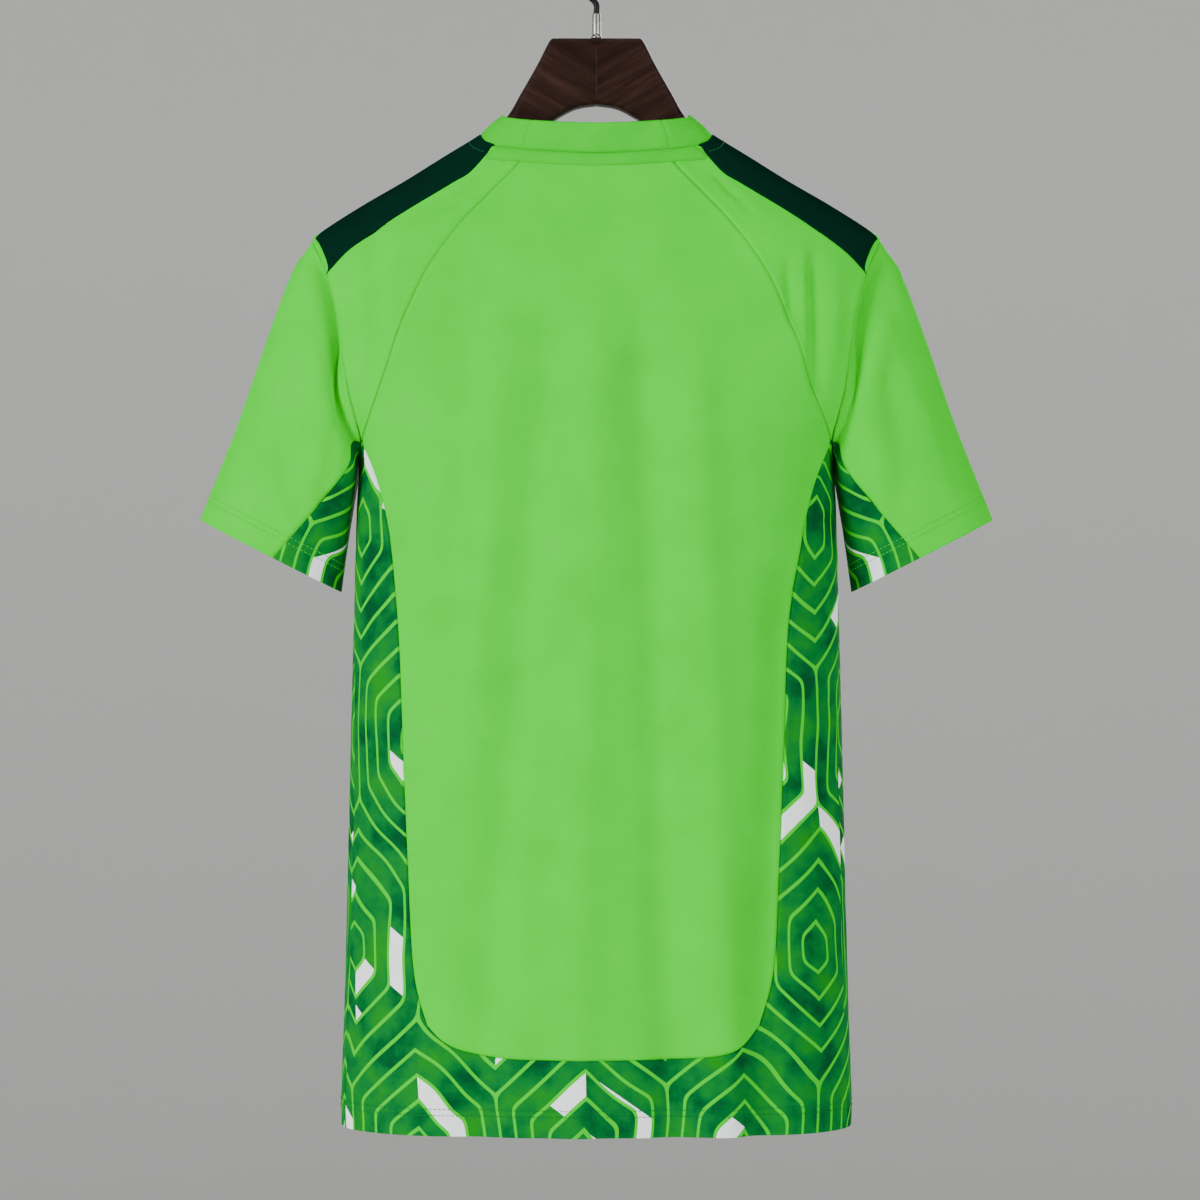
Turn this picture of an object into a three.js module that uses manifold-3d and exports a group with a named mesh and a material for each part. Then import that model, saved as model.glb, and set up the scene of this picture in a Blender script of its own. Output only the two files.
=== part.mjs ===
// A short-sleeved football jersey on a wooden hanger, in millimetres, +Z up.
// Its back faces -Y and +X is to the right of that view. The origin is the top of the inside of the hook,
// where a rail carries it.
import * as THREE from "three";
import { mergeVertices } from "three/addons/utils/BufferGeometryUtils.js";
import Module from "manifold-3d";

const wasm = await Module();
wasm.setup();

// Cloth and sewing
const cloth = 1.5;
const seamGap = 0.3;
const lift = 0.35; // space under a piece that lies on another
const bandCloth = 1.2;
const tapeCloth = 1.6;
const tapeHeight = 9;
const collarCloth = 2;

// Level sections of the body from the neck down. Above the armpit a half width is that of the whole oval,
// which the armhole cuts away.
const bodySections = [
  { z: -128, halfWidth: 64, halfDepth: 23 },
  { z: -143.5, halfWidth: 86, halfDepth: 27 },
  { z: -160.8, halfWidth: 114.2, halfDepth: 31 },
  { z: -178.4, halfWidth: 142.8, halfDepth: 35 },
  { z: -196, halfWidth: 173.6, halfDepth: 39.5 },
  { z: -213.7, halfWidth: 201.8, halfDepth: 44.5 },
  { z: -220, halfWidth: 208.5, halfDepth: 46 },
  { z: -240, halfWidth: 212, halfDepth: 51 },
  { z: -265, halfWidth: 215, halfDepth: 57 },
  { z: -300, halfWidth: 214, halfDepth: 64 },
  { z: -330, halfWidth: 204, halfDepth: 69.5 },
  { z: -350, halfWidth: 191, halfDepth: 72.5 },
  { z: -368, halfWidth: 177.6, halfDepth: 75 },
  { z: -380, halfWidth: 174.5, halfDepth: 76 },
  { z: -420, halfWidth: 176, halfDepth: 79.5 },
  { z: -480, halfWidth: 177.6, halfDepth: 82 },
  { z: -630, halfWidth: 181.3, halfDepth: 84 },
  { z: -777, halfWidth: 184.8, halfDepth: 84 },
  { z: -850, halfWidth: 187.4, halfDepth: 85 },
  { z: -868, halfWidth: 187, halfDepth: 85 },
];
const boxiness = 0.3; // how much fuller than an oval a level section is
const hemZ = -868;

// Hanging folds. Each runs from its top to its bottom, and pushes the cloth out (depth above zero) or in.
const backFolds = [
  { topX: -88, topZ: -262, bottomX: -106, bottomZ: -560, reach: 19, depth: -4.5 },
  { topX: -30, topZ: -240, bottomX: -98, bottomZ: -960, reach: 20, depth: -5.5 },
  { topX: 33, topZ: -235, bottomX: 60, bottomZ: -960, reach: 20, depth: -5.5 },
  { topX: 142, topZ: -420, bottomX: 114, bottomZ: -960, reach: 20, depth: -5.5 },
  { topX: -70, topZ: -250, bottomX: -90, bottomZ: -600, reach: 17, depth: 3 },
  { topX: 2, topZ: -245, bottomX: -16, bottomZ: -960, reach: 19, depth: 3.5 },
  { topX: 68, topZ: -245, bottomX: 98, bottomZ: -960, reach: 19, depth: 4 },
];
const frontFolds = [
  { topX: -92, topZ: -300, bottomX: -70, bottomZ: -960, reach: 22, depth: -5.5 },
  { topX: -26, topZ: -290, bottomX: -14, bottomZ: -700, reach: 20, depth: -4.5 },
  { topX: 38, topZ: -285, bottomX: 46, bottomZ: -960, reach: 21, depth: -5.5 },
  { topX: 104, topZ: -310, bottomX: 98, bottomZ: -780, reach: 22, depth: -4.5 },
  { topX: -58, topZ: -300, bottomX: -40, bottomZ: -960, reach: 19, depth: 3.5 },
  { topX: 6, topZ: -290, bottomX: 14, bottomZ: -960, reach: 19, depth: 3.5 },
  { topX: 70, topZ: -300, bottomX: 76, bottomZ: -820, reach: 19, depth: 3 },
];
const foldFade = 90; // length over which a fold dies out at each end

// Neck seam, by the angle round the body from the middle of the back, with the collar's lean and rise
const neckSections = [
  { angle: 0, z: -158.6, lean: 1.5, rise: 21.8 },
  { angle: 30, z: -155.4, lean: 6, rise: 21 },
  { angle: 50, z: -151.8, lean: 13, rise: 20 },
  { angle: 90, z: -143.5, lean: 17.5, rise: 15 },
  { angle: 130, z: -159, lean: 14, rise: 17 },
  { angle: 152, z: -185, lean: 10, rise: 20 },
  { angle: 168, z: -216, lean: 7, rise: 22 },
  { angle: 180, z: -231, lean: 6, rise: 22 },
];
const collarAimY = 6; // the collar leans towards this line behind the hook
const collarSwell = 1.6;
const backNeckAngle = 30; // where the raglan seam meets the neck, on the back and on the front
const frontNeckAngle = 152;
const bandNeckAngle = 48;
const tapeEndAngle = 42.5;
const ridgeAngle = 88;

// Armhole: a loop from the shoulder's tip down to the armpit
const tipZ = -220;
const armpitZ = -379;
const armholeOpening = 30; // degrees that the loop opens to each side of the body's edge
const junction = 0.837; // share of the way round to the armpit where raglan, side and sleeve seams meet
const bandEnd = 0.27;

// Seams that both halves share, x from the middle
const backRaglan = [
  { x: 57, z: -166 },
  { x: 77, z: -187 },
  { x: 94, z: -205 },
  { x: 110, z: -225 },
  { x: 127, z: -252 },
  { x: 145, z: -295 },
  { x: 160.5, z: -340 },
];
const frontRaglan = [
  { x: 90, z: -207 },
  { x: 107, z: -230 },
  { x: 125, z: -257 },
  { x: 143.5, z: -297 },
  { x: 159.5, z: -340 },
];
const sidePrint = [
  { x: 161, z: -393 },
  { x: 153, z: -420 },
  { x: 147.5, z: -455 },
  { x: 142.5, z: -515 },
  { x: 139.5, z: -590 },
  { x: 136, z: -670 },
  { x: 131.5, z: -750 },
  { x: 121.5, z: -789 },
];
const hemPrint = [
  { x: 109, z: -801 },
  { x: 91, z: -808.5 },
  { x: 60, z: -812 },
  { x: 0, z: -812.6 },
];
const bandEdge = [
  { x: 91, z: -172 },
  { x: 106, z: -181.5 },
  { x: 146, z: -206 },
  { x: 181, z: -231 },
];
const sideSeamTurn = 13; // degrees that the side seam drifts to the back
const sideSeamDrift = 240; // height over which it drifts

// Sleeve
const cuffOuter = { x: 291, z: -425 };
const cuffInner = { x: 187, z: -478 };
const cuffHalfDepth = 32;
const underarmAtCuff = 0.525; // share of the way round to the inside where the underarm piece starts
const capSwell = 5;
const tubeSwell = 3;
const armholeTrough = 6;
const sleeveFolds = [
  { start: 0.18, end: 0.8, turnStart: 0.34, turnEnd: 0.5, reach: 0.09, depth: -3.5 },
  { start: 0.3, end: 1.3, turnStart: -0.42, turnEnd: -0.52, reach: 0.1, depth: -3.5 },
];
const sleeveSteps = [0, 0.035, 0.08, 0.14, 0.24, 0.38, 0.54, 0.7, 0.86, 1];

// Grid steps
const panelColumns = 22;
const raglanRows = 9;
const sideRows = 10;
const raglanToBandColumns = 7;
const bandColumns = 5;
const frontShoulderColumns = 11;
const surroundColumns = 4;
const underarmColumns = 6;
const underarmMargin = 0.22; // keeps its sharp ends clear of the sleeve's
const collarRows = 2;
const tapeColumns = 20;

// Hanger: its outline over one half, with the half thickness. The section is an oval where square is 1, and
// nearer to a box the lower it is.
const hangerSections = [
  { x: 0.15, top: -72, bottom: -121, half: 10.5, square: 0.35 },
  { x: 15, top: -72, bottom: -123.5, half: 10.5, square: 0.35 },
  { x: 29, top: -72, bottom: -130.7, half: 10.5, square: 0.35 },
  { x: 33, top: -72.6, bottom: -133.6, half: 10.5, square: 0.35 },
  { x: 36, top: -77, bottom: -136, half: 10.5, square: 0.35 },
  { x: 42, top: -89, bottom: -141, half: 10.5, square: 0.35 },
  { x: 48.5, top: -100.6, bottom: -147, half: 10.5, square: 0.4 },
  { x: 56, top: -113.5, bottom: -153.5, half: 10.5, square: 0.5 },
  { x: 63, top: -125.6, bottom: -159.5, half: 10.5, square: 0.7 },
  { x: 72, top: -136, bottom: -166.5, half: 10.5, square: 0.9 },
  { x: 86, top: -146.6, bottom: -175, half: 11, square: 1 },
  { x: 114.2, top: -163.6, bottom: -190, half: 12, square: 1 },
  { x: 142.8, top: -181.1, bottom: -205, half: 13, square: 1 },
  { x: 173.6, top: -198.7, bottom: -221, half: 14, square: 1 },
  { x: 195, top: -212.3, bottom: -233, half: 13, square: 1 },
  { x: 202, top: -217.7, bottom: -234, half: 10, square: 1 },
];
const hangerSides = 16;

// Hook and its ferrule
const wireRadius = 2.25;
const hookInside = 20; // radius of the space for the rail
const hookStart = 222; // degrees of the hook's circle from +X, from its shank over the top to its tip
const hookEnd = -4;
const hookSteps = 15;
const hookFacets = 44;
const wireFacets = 10;
const boreRadius = 2.6;
const boreDepth = 22.3;
const wireFoot = -94;
const ferrule = { foot: -71.6, top: -53.5, radius: 3.05, flare: 3.9, flareHeight: 2.5 };

const degrees = Math.PI / 180;

const look = {
  body: { color: 0x6fcf54, roughness: 0.75, metalness: 0 },
  collar: { color: 0x61c54a, roughness: 0.75, metalness: 0 },
  print: { color: 0x1d8c3c, roughness: 0.75, metalness: 0 },
  band: { color: 0x0a2f1d, roughness: 0.75, metalness: 0 },
  wood: { color: 0x33241e, roughness: 0.45, metalness: 0 },
  silver: { color: 0xb4b4b2, roughness: 0.25, metalness: 1 },
  black: { color: 0x0c0b09, roughness: 0.3, metalness: 0.8 },
};

const jersey = new THREE.Group();

function add(name, geometry, finish) {
  const mesh = new THREE.Mesh(geometry, new THREE.MeshStandardMaterial(finish));
  mesh.name = name;
  jersey.add(mesh);
}

// Smooth value of a column between the rows of a table: a cubic whose slope at each row is that of the
// chord between the rows beside it.
function read(table, place, at, column) {
  const last = table.length - 1;
  const rising = table[last][place] > table[0][place];
  const beyond = (i) => (rising ? at > table[i][place] : at < table[i][place]);
  let row = 0;
  while (row < last - 1 && beyond(row + 1)) row += 1;
  const slope = (i) => {
    const before = table[Math.max(i - 1, 0)];
    const after = table[Math.min(i + 1, last)];
    return (after[column] - before[column]) / (after[place] - before[place]);
  };
  const width = table[row + 1][place] - table[row][place];
  const t = (at - table[row][place]) / width;
  const rise = t * t * (3 - 2 * t);
  const startLean = t * (1 - t) * (1 - t) * width * slope(row);
  const endLean = t * t * (t - 1) * width * slope(row + 1);
  return table[row][column] * (1 - rise) + table[row + 1][column] * rise + startLean + endLean;
}

const smooth = (value) => {
  const t = THREE.MathUtils.clamp(value, 0, 1);
  return t * t * (3 - 2 * t);
};
const bell = (value) => Math.exp(-value * value);

// How far the folds push the cloth out at a place on the back or the front
function foldPush(folds, x, z) {
  let push = 0;
  for (const fold of folds) {
    const down = (fold.topZ - z) / (fold.topZ - fold.bottomZ);
    const middle = THREE.MathUtils.lerp(fold.topX, fold.bottomX, down);
    const fade = smooth((fold.topZ - z) / foldFade) * smooth((z - fold.bottomZ) / foldFade);
    push += fold.depth * bell((x - middle) / fold.reach) * fade;
  }
  return push;
}

// Body: a point at an angle round from the middle of the back, and at a height
function bodyPoint(angle, z) {
  const halfWidth = read(bodySections, "z", z, "halfWidth");
  const halfDepth = read(bodySections, "z", z, "halfDepth");
  const across = Math.sin(angle);
  const back = Math.cos(angle);
  const x = halfWidth * across;
  const depth = halfDepth * back * (1 + boxiness * across * across);
  const push = foldPush(back > 0 ? backFolds : frontFolds, x, z) * smooth(Math.abs(back) * 2);
  return new THREE.Vector3(x + push * across, -depth - push * back, z);
}

// Unit normal of a surface given by two numbers, on the side of the hint
function normalOf(surface, u, v, stepU, stepV, hint) {
  const alongU = surface(u + stepU, v).sub(surface(u - stepU, v));
  const alongV = surface(u, v + stepV).sub(surface(u, v - stepV));
  const normal = alongU.cross(alongV).normalize();
  return normal.dot(hint) < 0 ? normal.negate() : normal;
}

function bodyNormal(angle, z) {
  const hint = new THREE.Vector3(Math.sin(angle), -Math.cos(angle), 0.2);
  return normalOf(bodyPoint, angle, z, 0.002, 0.1, hint);
}

// A station is one place on a seam or a panel: its angle and height, its point and the cloth's normal
function bodyStation(angle, z) {
  return { angle, z, point: bodyPoint(angle, z), normal: bodyNormal(angle, z) };
}

// Angle at which the body is x wide at a height, on the back (face 1) or the front (face -1)
function angleAt(x, z, face) {
  const angle = Math.asin(x / read(bodySections, "z", z, "halfWidth"));
  return face > 0 ? angle : Math.PI - angle;
}

// Collar, from the neck seam (height 0) to its top edge (height 1)
const neckZ = (angle) => read(neckSections, "angle", Math.abs(angle) / degrees, "z");

function collarPoint(angle, height) {
  const turn = Math.abs(angle) / degrees;
  const point = bodyPoint(angle, neckZ(angle));
  const inward = new THREE.Vector3(-point.x, collarAimY - point.y, 0).normalize();
  const lean = read(neckSections, "angle", turn, "lean") * height;
  point.addScaledVector(inward, lean - collarSwell * Math.sin(Math.PI * height));
  point.z += read(neckSections, "angle", turn, "rise") * height;
  return point;
}

function collarStation(angle, height) {
  const hint = new THREE.Vector3(Math.sin(angle), -Math.cos(angle), 0.2);
  const around = THREE.MathUtils.clamp(Math.abs(angle), 0.004, Math.PI - 0.004) * Math.sign(angle || 1);
  const normal = normalOf(collarPoint, around, THREE.MathUtils.clamp(height, 0.02, 0.98), 0.003, 0.01, hint);
  return { angle, point: collarPoint(angle, height), normal };
}

// Neck seam, where the body and the collar share one normal
function neckStation(angle) {
  const station = bodyStation(angle, neckZ(angle));
  station.normal.add(collarStation(angle, 0).normal).normalize();
  return station;
}

// Armhole: turn 0 at the shoulder's tip, 1 at the armpit, below zero on the front
function armholePlace(turn, side) {
  const opening = armholeOpening * degrees * Math.sin(Math.PI * turn);
  const drop = (1 - Math.cos(Math.PI * turn)) / 2;
  return { angle: side * (Math.PI / 2 - opening), z: THREE.MathUtils.lerp(tipZ, armpitZ, drop) };
}

// Sleeve: along 0 at the armhole and 1 at the cuff, turn as on the armhole
function sleevePoint(along, turn, side) {
  const place = armholePlace(turn, side);
  const start = bodyPoint(place.angle, place.z);
  const outer = Math.cos(Math.PI * turn);
  const back = Math.sin(Math.PI * turn);
  const halfX = (cuffOuter.x - cuffInner.x) / 2;
  const halfZ = (cuffOuter.z - cuffInner.z) / 2;
  const cuff = new THREE.Vector3(
    side * (cuffInner.x + halfX * (1 + outer)),
    -cuffHalfDepth * back,
    cuffInner.z + halfZ * (1 + outer),
  );
  const outward = new THREE.Vector3(side * halfX * outer, -cuffHalfDepth * back, halfZ * outer).normalize();
  const cap = capSwell * smooth(along / 0.12) * smooth((0.75 - along) / 0.6) * Math.max(outer, 0);
  const tube = tubeSwell * Math.sin(Math.PI * along) * Math.abs(back);
  const trough = armholeTrough * bell((along - 0.085) / 0.055) * smooth(Math.abs(back) * 1.4 - 0.3);
  let push = cap + tube - trough * smooth(along / 0.04);
  for (const fold of sleeveFolds) {
    const share = (along - fold.start) / (fold.end - fold.start);
    const middle = THREE.MathUtils.lerp(fold.turnStart, fold.turnEnd, share);
    push += fold.depth * bell((turn - middle) / fold.reach) * smooth(share * 4) * smooth((1 - share) * 4);
  }
  return start.lerp(cuff, along).addScaledVector(outward, push);
}

function sleeveStation(along, turn, side) {
  const surface = (a, t) => sleevePoint(a, t, side);
  const hint = new THREE.Vector3(side * Math.cos(Math.PI * turn), -Math.sin(Math.PI * turn), 0);
  const normal = normalOf(surface, Math.max(along, 0.003), turn, 0.003, 0.004, hint);
  return { point: sleevePoint(along, turn, side), normal };
}

// The armhole seam, as the body's pieces (ofSleeve false) or the sleeve's meet it. Where the shoulder
// turns down both walls share one normal. The gap runs between the two cloths, also in the armpit's fold.
function armholeStation(turn, side, ofSleeve) {
  const place = armholePlace(turn, side);
  const body = bodyStation(place.angle, place.z);
  const sleeve = sleeveStation(0, turn, side);
  const seam = sleevePoint(0, turn + 0.004, side).sub(sleevePoint(0, turn - 0.004, side)).normalize();
  const intoSleeve = sleeve.normal.clone().cross(seam).normalize();
  if (intoSleeve.dot(sleevePoint(0.02, turn, side).sub(body.point)) < 0) intoSleeve.negate();
  const intoBody = body.normal.clone().cross(seam).normalize();
  if (intoBody.dot(new THREE.Vector3(-side, 0, 0)) < 0 && Math.abs(turn) < 0.9) intoBody.negate();
  if (Math.abs(turn) >= 0.9 && intoBody.z > 0) intoBody.negate();
  const apart = intoBody.sub(intoSleeve).normalize().multiplyScalar(seamGap / 2);
  if (intoSleeve.dot(body.normal) < 0) {
    const shared = body.normal.clone().add(sleeve.normal).normalize();
    body.normal = shared;
    sleeve.normal = shared.clone();
  }
  if (ofSleeve) return { ...sleeve, ...place, gap: apart.negate() };
  return { ...body, gap: apart };
}

// Seams as lists of stations

// Even places along a smooth line through points of x and z
function evenPlaces(points, steps) {
  const line = new THREE.SplineCurve(points.map((p) => new THREE.Vector2(p.x, p.z)));
  return line.getSpacedPoints(steps);
}

function seamThrough(points, steps, face, side) {
  return evenPlaces(points, steps).map((p) => bodyStation(side * angleAt(p.x, p.y, face), p.y));
}

const placeOf = (station) => ({ x: Math.abs(station.point.x), z: station.z });
const junctionOf = (face, side) => armholeStation(face * junction, side, false);

// From the neck to the junction at the armhole
function raglanSeam(face, side) {
  const neck = neckStation(side * (face > 0 ? backNeckAngle : frontNeckAngle) * degrees);
  const end = junctionOf(face, side);
  const points = [placeOf(neck), ...(face > 0 ? backRaglan : frontRaglan), placeOf(end)];
  const seam = seamThrough(points, raglanRows, face, side);
  seam[0] = neck;
  seam[raglanRows] = end;
  return seam;
}

// From the junction down to the corner of the print above the hem
function printSideSeam(face, side) {
  const start = junctionOf(face, side);
  const seam = seamThrough([placeOf(start), ...sidePrint], sideRows, face, side);
  seam[0] = start;
  return seam;
}

// Across the bottom from the left corner to the right one
function printHemSeam(face) {
  const corner = sidePrint[sidePrint.length - 1];
  const half = evenPlaces([corner, ...hemPrint], panelColumns / 2);
  const left = half.map((p) => bodyStation(-angleAt(p.x, p.y, face), p.y));
  const right = half.slice(0, -1).map((p) => bodyStation(angleAt(p.x, p.y, face), p.y));
  return [...left, ...right.reverse()];
}

function sideSeam(side) {
  const seam = [armholeStation(1, side, false)];
  for (let row = 1; row <= sideRows; row += 1) {
    const z = THREE.MathUtils.lerp(armpitZ, hemZ, row / sideRows);
    const turn = 90 - sideSeamTurn * smooth((armpitZ - z) / sideSeamDrift);
    seam.push(bodyStation(side * turn * degrees, z));
  }
  return seam;
}

function hemLine(face) {
  const end = (90 - face * sideSeamTurn) * degrees;
  const line = [];
  for (let i = 0; i <= panelColumns; i += 1) {
    const share = (2 * i) / panelColumns - 1;
    line.push(bodyStation(face > 0 ? share * end : Math.PI + share * end, hemZ));
  }
  return face > 0 ? line : line.reverse();
}

function armholePart(from, to, steps, side, ofSleeve) {
  const part = [];
  for (let i = 0; i <= steps; i += 1) {
    part.push(armholeStation(THREE.MathUtils.lerp(from, to, i / steps), side, ofSleeve));
  }
  return part;
}

function neckPart(fromDegrees, toDegrees, steps) {
  const part = [];
  for (let i = 0; i <= steps; i += 1) {
    part.push(neckStation(THREE.MathUtils.lerp(fromDegrees, toDegrees, i / steps) * degrees));
  }
  return part;
}

// Grids of stations

// Fills the space between four seams. first and last run across; left and right run down. across reads
// the number that is blended with the height, and make gives a station for the two. A higher ease keeps
// the bends of first and last closer to them.
function fill(first, last, left, right, across, make, ease = 1) {
  const rows = left.length - 1;
  const columns = first.length - 1;
  const blend = (i, j, value) => {
    const v = i / rows;
    const u = j / columns;
    const over = (1 - u) * value(left[i]) + u * value(right[i]);
    const topBend = value(first[j]) - (1 - u) * value(first[0]) - u * value(first[columns]);
    const bottomBend = value(last[j]) - (1 - u) * value(last[0]) - u * value(last[columns]);
    return over + (1 - v) ** ease * topBend + v ** ease * bottomBend;
  };
  const grid = [];
  for (let i = 0; i <= rows; i += 1) {
    const row = [];
    for (let j = 0; j <= columns; j += 1) {
      if (i === 0) row.push(first[j]);
      else if (i === rows) row.push(last[j]);
      else if (j === 0) row.push(left[i]);
      else if (j === columns) row.push(right[i]);
      else row.push(make(blend(i, j, across), blend(i, j, (station) => station.z)));
    }
    grid.push(row);
  }
  return grid;
}

const byAngle = (first, last, left, right, ease) =>
  fill(first, last, left, right, (station) => station.angle, bodyStation, ease);
const byWidth = (first, last, left, right, face) =>
  fill(
    first,
    last,
    left,
    right,
    (station) => station.point.x,
    (x, z) => bodyStation(angleAt(x, z, face), z),
  );

// Puts grids side by side, where the last column of one is the first of the next
function sideBySide(grids) {
  return grids[0].map((row, i) => [...row, ...grids.slice(1).flatMap((grid) => grid[i].slice(1))]);
}

// Closed wall over a grid of stations: its outer points out from the stations, its inner points a
// thickness under them, and its edges half a seam gap in from the seams.
function wall(grid, thickness, out = 0, margin = seamGap / 2) {
  const rows = grid.length;
  const columns = grid[0].length;
  const edges = [
    { cells: grid[0].map((_, j) => [0, j]), step: [1, 0] },
    { cells: grid[0].map((_, j) => [rows - 1, j]), step: [-1, 0] },
    { cells: grid.map((_, i) => [i, 0]), step: [0, 1] },
    { cells: grid.map((_, i) => [i, columns - 1]), step: [0, -1] },
  ];
  const moved = grid.map((row) => row.map((station) => station.point.clone()));
  for (const { cells, step } of edges) {
    const atArmhole = cells.every(([i, j]) => grid[i][j].gap);
    cells.forEach(([i, j], k) => {
      const station = grid[i][j];
      if (atArmhole) {
        moved[i][j].addScaledVector(station.gap, margin / (seamGap / 2));
        return;
      }
      const [beforeI, beforeJ] = cells[Math.max(k - 1, 0)];
      const [afterI, afterJ] = cells[Math.min(k + 1, cells.length - 1)];
      const along = grid[afterI][afterJ].point.clone().sub(grid[beforeI][beforeJ].point).normalize();
      const inward = grid[i + step[0]][j + step[1]].point.clone().sub(station.point);
      inward.addScaledVector(along, -inward.dot(along)).normalize();
      moved[i][j].addScaledVector(inward, margin);
    });
  }
  const outer = grid.map((row, i) => row.map((s, j) => moved[i][j].clone().addScaledVector(s.normal, out)));
  const inner = grid.map((row, i) =>
    row.map((s, j) => moved[i][j].clone().addScaledVector(s.normal, out - thickness)),
  );
  return shell(outer, inner, grid);
}

// Triangles of a wall from its outer and inner points
function shell(outer, inner, grid) {
  const rows = outer.length;
  const columns = outer[0].length;
  const points = [...outer.flat(), ...inner.flat()];
  const at = (i, j, under) => under * rows * columns + i * columns + j;
  const faces = [];
  // A four-sided face, cut along its shorter diagonal
  const quad = (a, b, c, d) => {
    if (points[a].distanceTo(points[c]) <= points[b].distanceTo(points[d])) faces.push(a, b, c, a, c, d);
    else faces.push(a, b, d, b, c, d);
  };
  for (let i = 0; i < rows - 1; i += 1) {
    for (let j = 0; j < columns - 1; j += 1) {
      quad(at(i, j, 0), at(i, j + 1, 0), at(i + 1, j + 1, 0), at(i + 1, j, 0));
      quad(at(i, j, 1), at(i + 1, j, 1), at(i + 1, j + 1, 1), at(i, j + 1, 1));
    }
  }
  for (let j = 0; j < columns - 1; j += 1) {
    quad(at(0, j + 1, 0), at(0, j, 0), at(0, j, 1), at(0, j + 1, 1));
    quad(at(rows - 1, j, 0), at(rows - 1, j + 1, 0), at(rows - 1, j + 1, 1), at(rows - 1, j, 1));
  }
  for (let i = 0; i < rows - 1; i += 1) {
    quad(at(i, 0, 0), at(i + 1, 0, 0), at(i + 1, 0, 1), at(i, 0, 1));
    quad(at(i + 1, columns - 1, 0), at(i, columns - 1, 0), at(i, columns - 1, 1), at(i + 1, columns - 1, 1));
  }
  const i = Math.floor((rows - 1) / 2);
  const j = Math.floor((columns - 1) / 2);
  const facing = outer[i][j + 1].clone().sub(outer[i][j]).cross(outer[i + 1][j].clone().sub(outer[i][j]));
  if (facing.dot(grid[i][j].normal) < 0) faces.reverse();
  return geometryOf(points, faces);
}

function geometryOf(points, faces) {
  const geometry = new THREE.BufferGeometry();
  geometry.setAttribute("position", new THREE.Float32BufferAttribute(points.flatMap((p) => p.toArray()), 3));
  geometry.setIndex(faces);
  geometry.computeVertexNormals();
  return geometry;
}

// Body panels, each with the print round its sides and hem
const backNeck = neckPart(-backNeckAngle, backNeckAngle, panelColumns);
for (const { name, face, neck } of [
  { name: "back", face: 1, neck: backNeck },
  { name: "front", face: -1, neck: frontNeck(panelColumns) },
]) {
  const left = [...raglanSeam(face, -1), ...printSideSeam(face, -1).slice(1)];
  const right = [...raglanSeam(face, 1), ...printSideSeam(face, 1).slice(1)];
  const bottom = printHemSeam(face);
  add(`${name}_panel`, wall(byWidth(neck, bottom, left, right, face), cloth), look.body);
  add(`${name}_surround`, wall(surroundGrid(face, bottom), cloth), look.print);
}

// Neck seam across the front, from the left raglan seam to the right one
function frontNeck(steps) {
  const neck = [];
  for (let i = 0; i <= steps; i += 1) {
    const turn = THREE.MathUtils.lerp(-frontNeckAngle, frontNeckAngle - 360, i / steps);
    neck.push(neckStation((turn < -180 ? turn + 360 : turn) * degrees));
  }
  return neck;
}

// The print goes down one side, along the hem and up the other side, in one piece on each face
function surroundGrid(face, bottom) {
  const sides = [-1, 1].map((side) => ({ inner: printSideSeam(face, side), outer: sideSeam(side) }));
  const inner = [...sides[0].inner, ...bottom.slice(1, -1), ...sides[1].inner.toReversed()];
  const outer = [...sides[0].outer, ...hemLine(face).slice(1, -1), ...sides[1].outer.toReversed()];
  const turned = (station) => face < 0 && station.angle < 0;
  const unwrap = (line) => line.map((s) => ({ ...s, angle: s.angle + (turned(s) ? 2 * Math.PI : 0) }));
  const starts = [-1, 1].map((side) => armholePart(face * junction, face, surroundColumns, side, false));
  return byAngle(unwrap(starts[0]), unwrap(starts[1]), unwrap(inner), unwrap(outer));
}

// Shoulders, from the back raglan seam over the hanger to the front one, with the dark band on each
const shoulderEase = 4;
for (const [sideName, side] of [
  ["left", -1],
  ["right", 1],
]) {
  const ridge = evenRidge(side);
  const edge = bandLine(side);
  const backPart = byAngle(
    neckPart(side * backNeckAngle, side * bandNeckAngle, raglanToBandColumns),
    armholePart(junction, bandEnd, raglanToBandColumns, side, false),
    raglanSeam(1, side),
    edge,
    shoulderEase,
  );
  const bandPart = byAngle(
    neckPart(side * bandNeckAngle, side * ridgeAngle, bandColumns),
    armholePart(bandEnd, 0, bandColumns, side, false),
    edge,
    ridge,
    shoulderEase,
  );
  const frontPart = byAngle(
    neckPart(side * ridgeAngle, side * frontNeckAngle, frontShoulderColumns),
    armholePart(0, -junction, frontShoulderColumns, side, false),
    ridge,
    raglanSeam(-1, side),
    shoulderEase,
  );
  add(`shoulder_${sideName}`, wall(sideBySide([backPart, bandPart, frontPart]), cloth), look.body);
  add(`shoulder_band_${sideName}`, wall(bandPart, bandCloth, lift + bandCloth, 0.8), look.band);

  const turns = (from, to, steps) =>
    Array.from({ length: steps + 1 }, (_, i) => THREE.MathUtils.lerp(from, to, i / steps));
  const over = [
    ...turns(junction, bandEnd, raglanToBandColumns),
    ...turns(bandEnd, 0, bandColumns).slice(1),
    ...turns(0, -junction, frontShoulderColumns).slice(1),
  ];
  const under = turns(-junction, -2 + junction, underarmColumns);
  add(`sleeve_${sideName}`, wall(sleeveGrid(over, side), cloth), look.body);
  add(`underarm_${sideName}`, wall(sleeveGrid(under, side), cloth, 0, underarmMargin), look.print);
}

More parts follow.
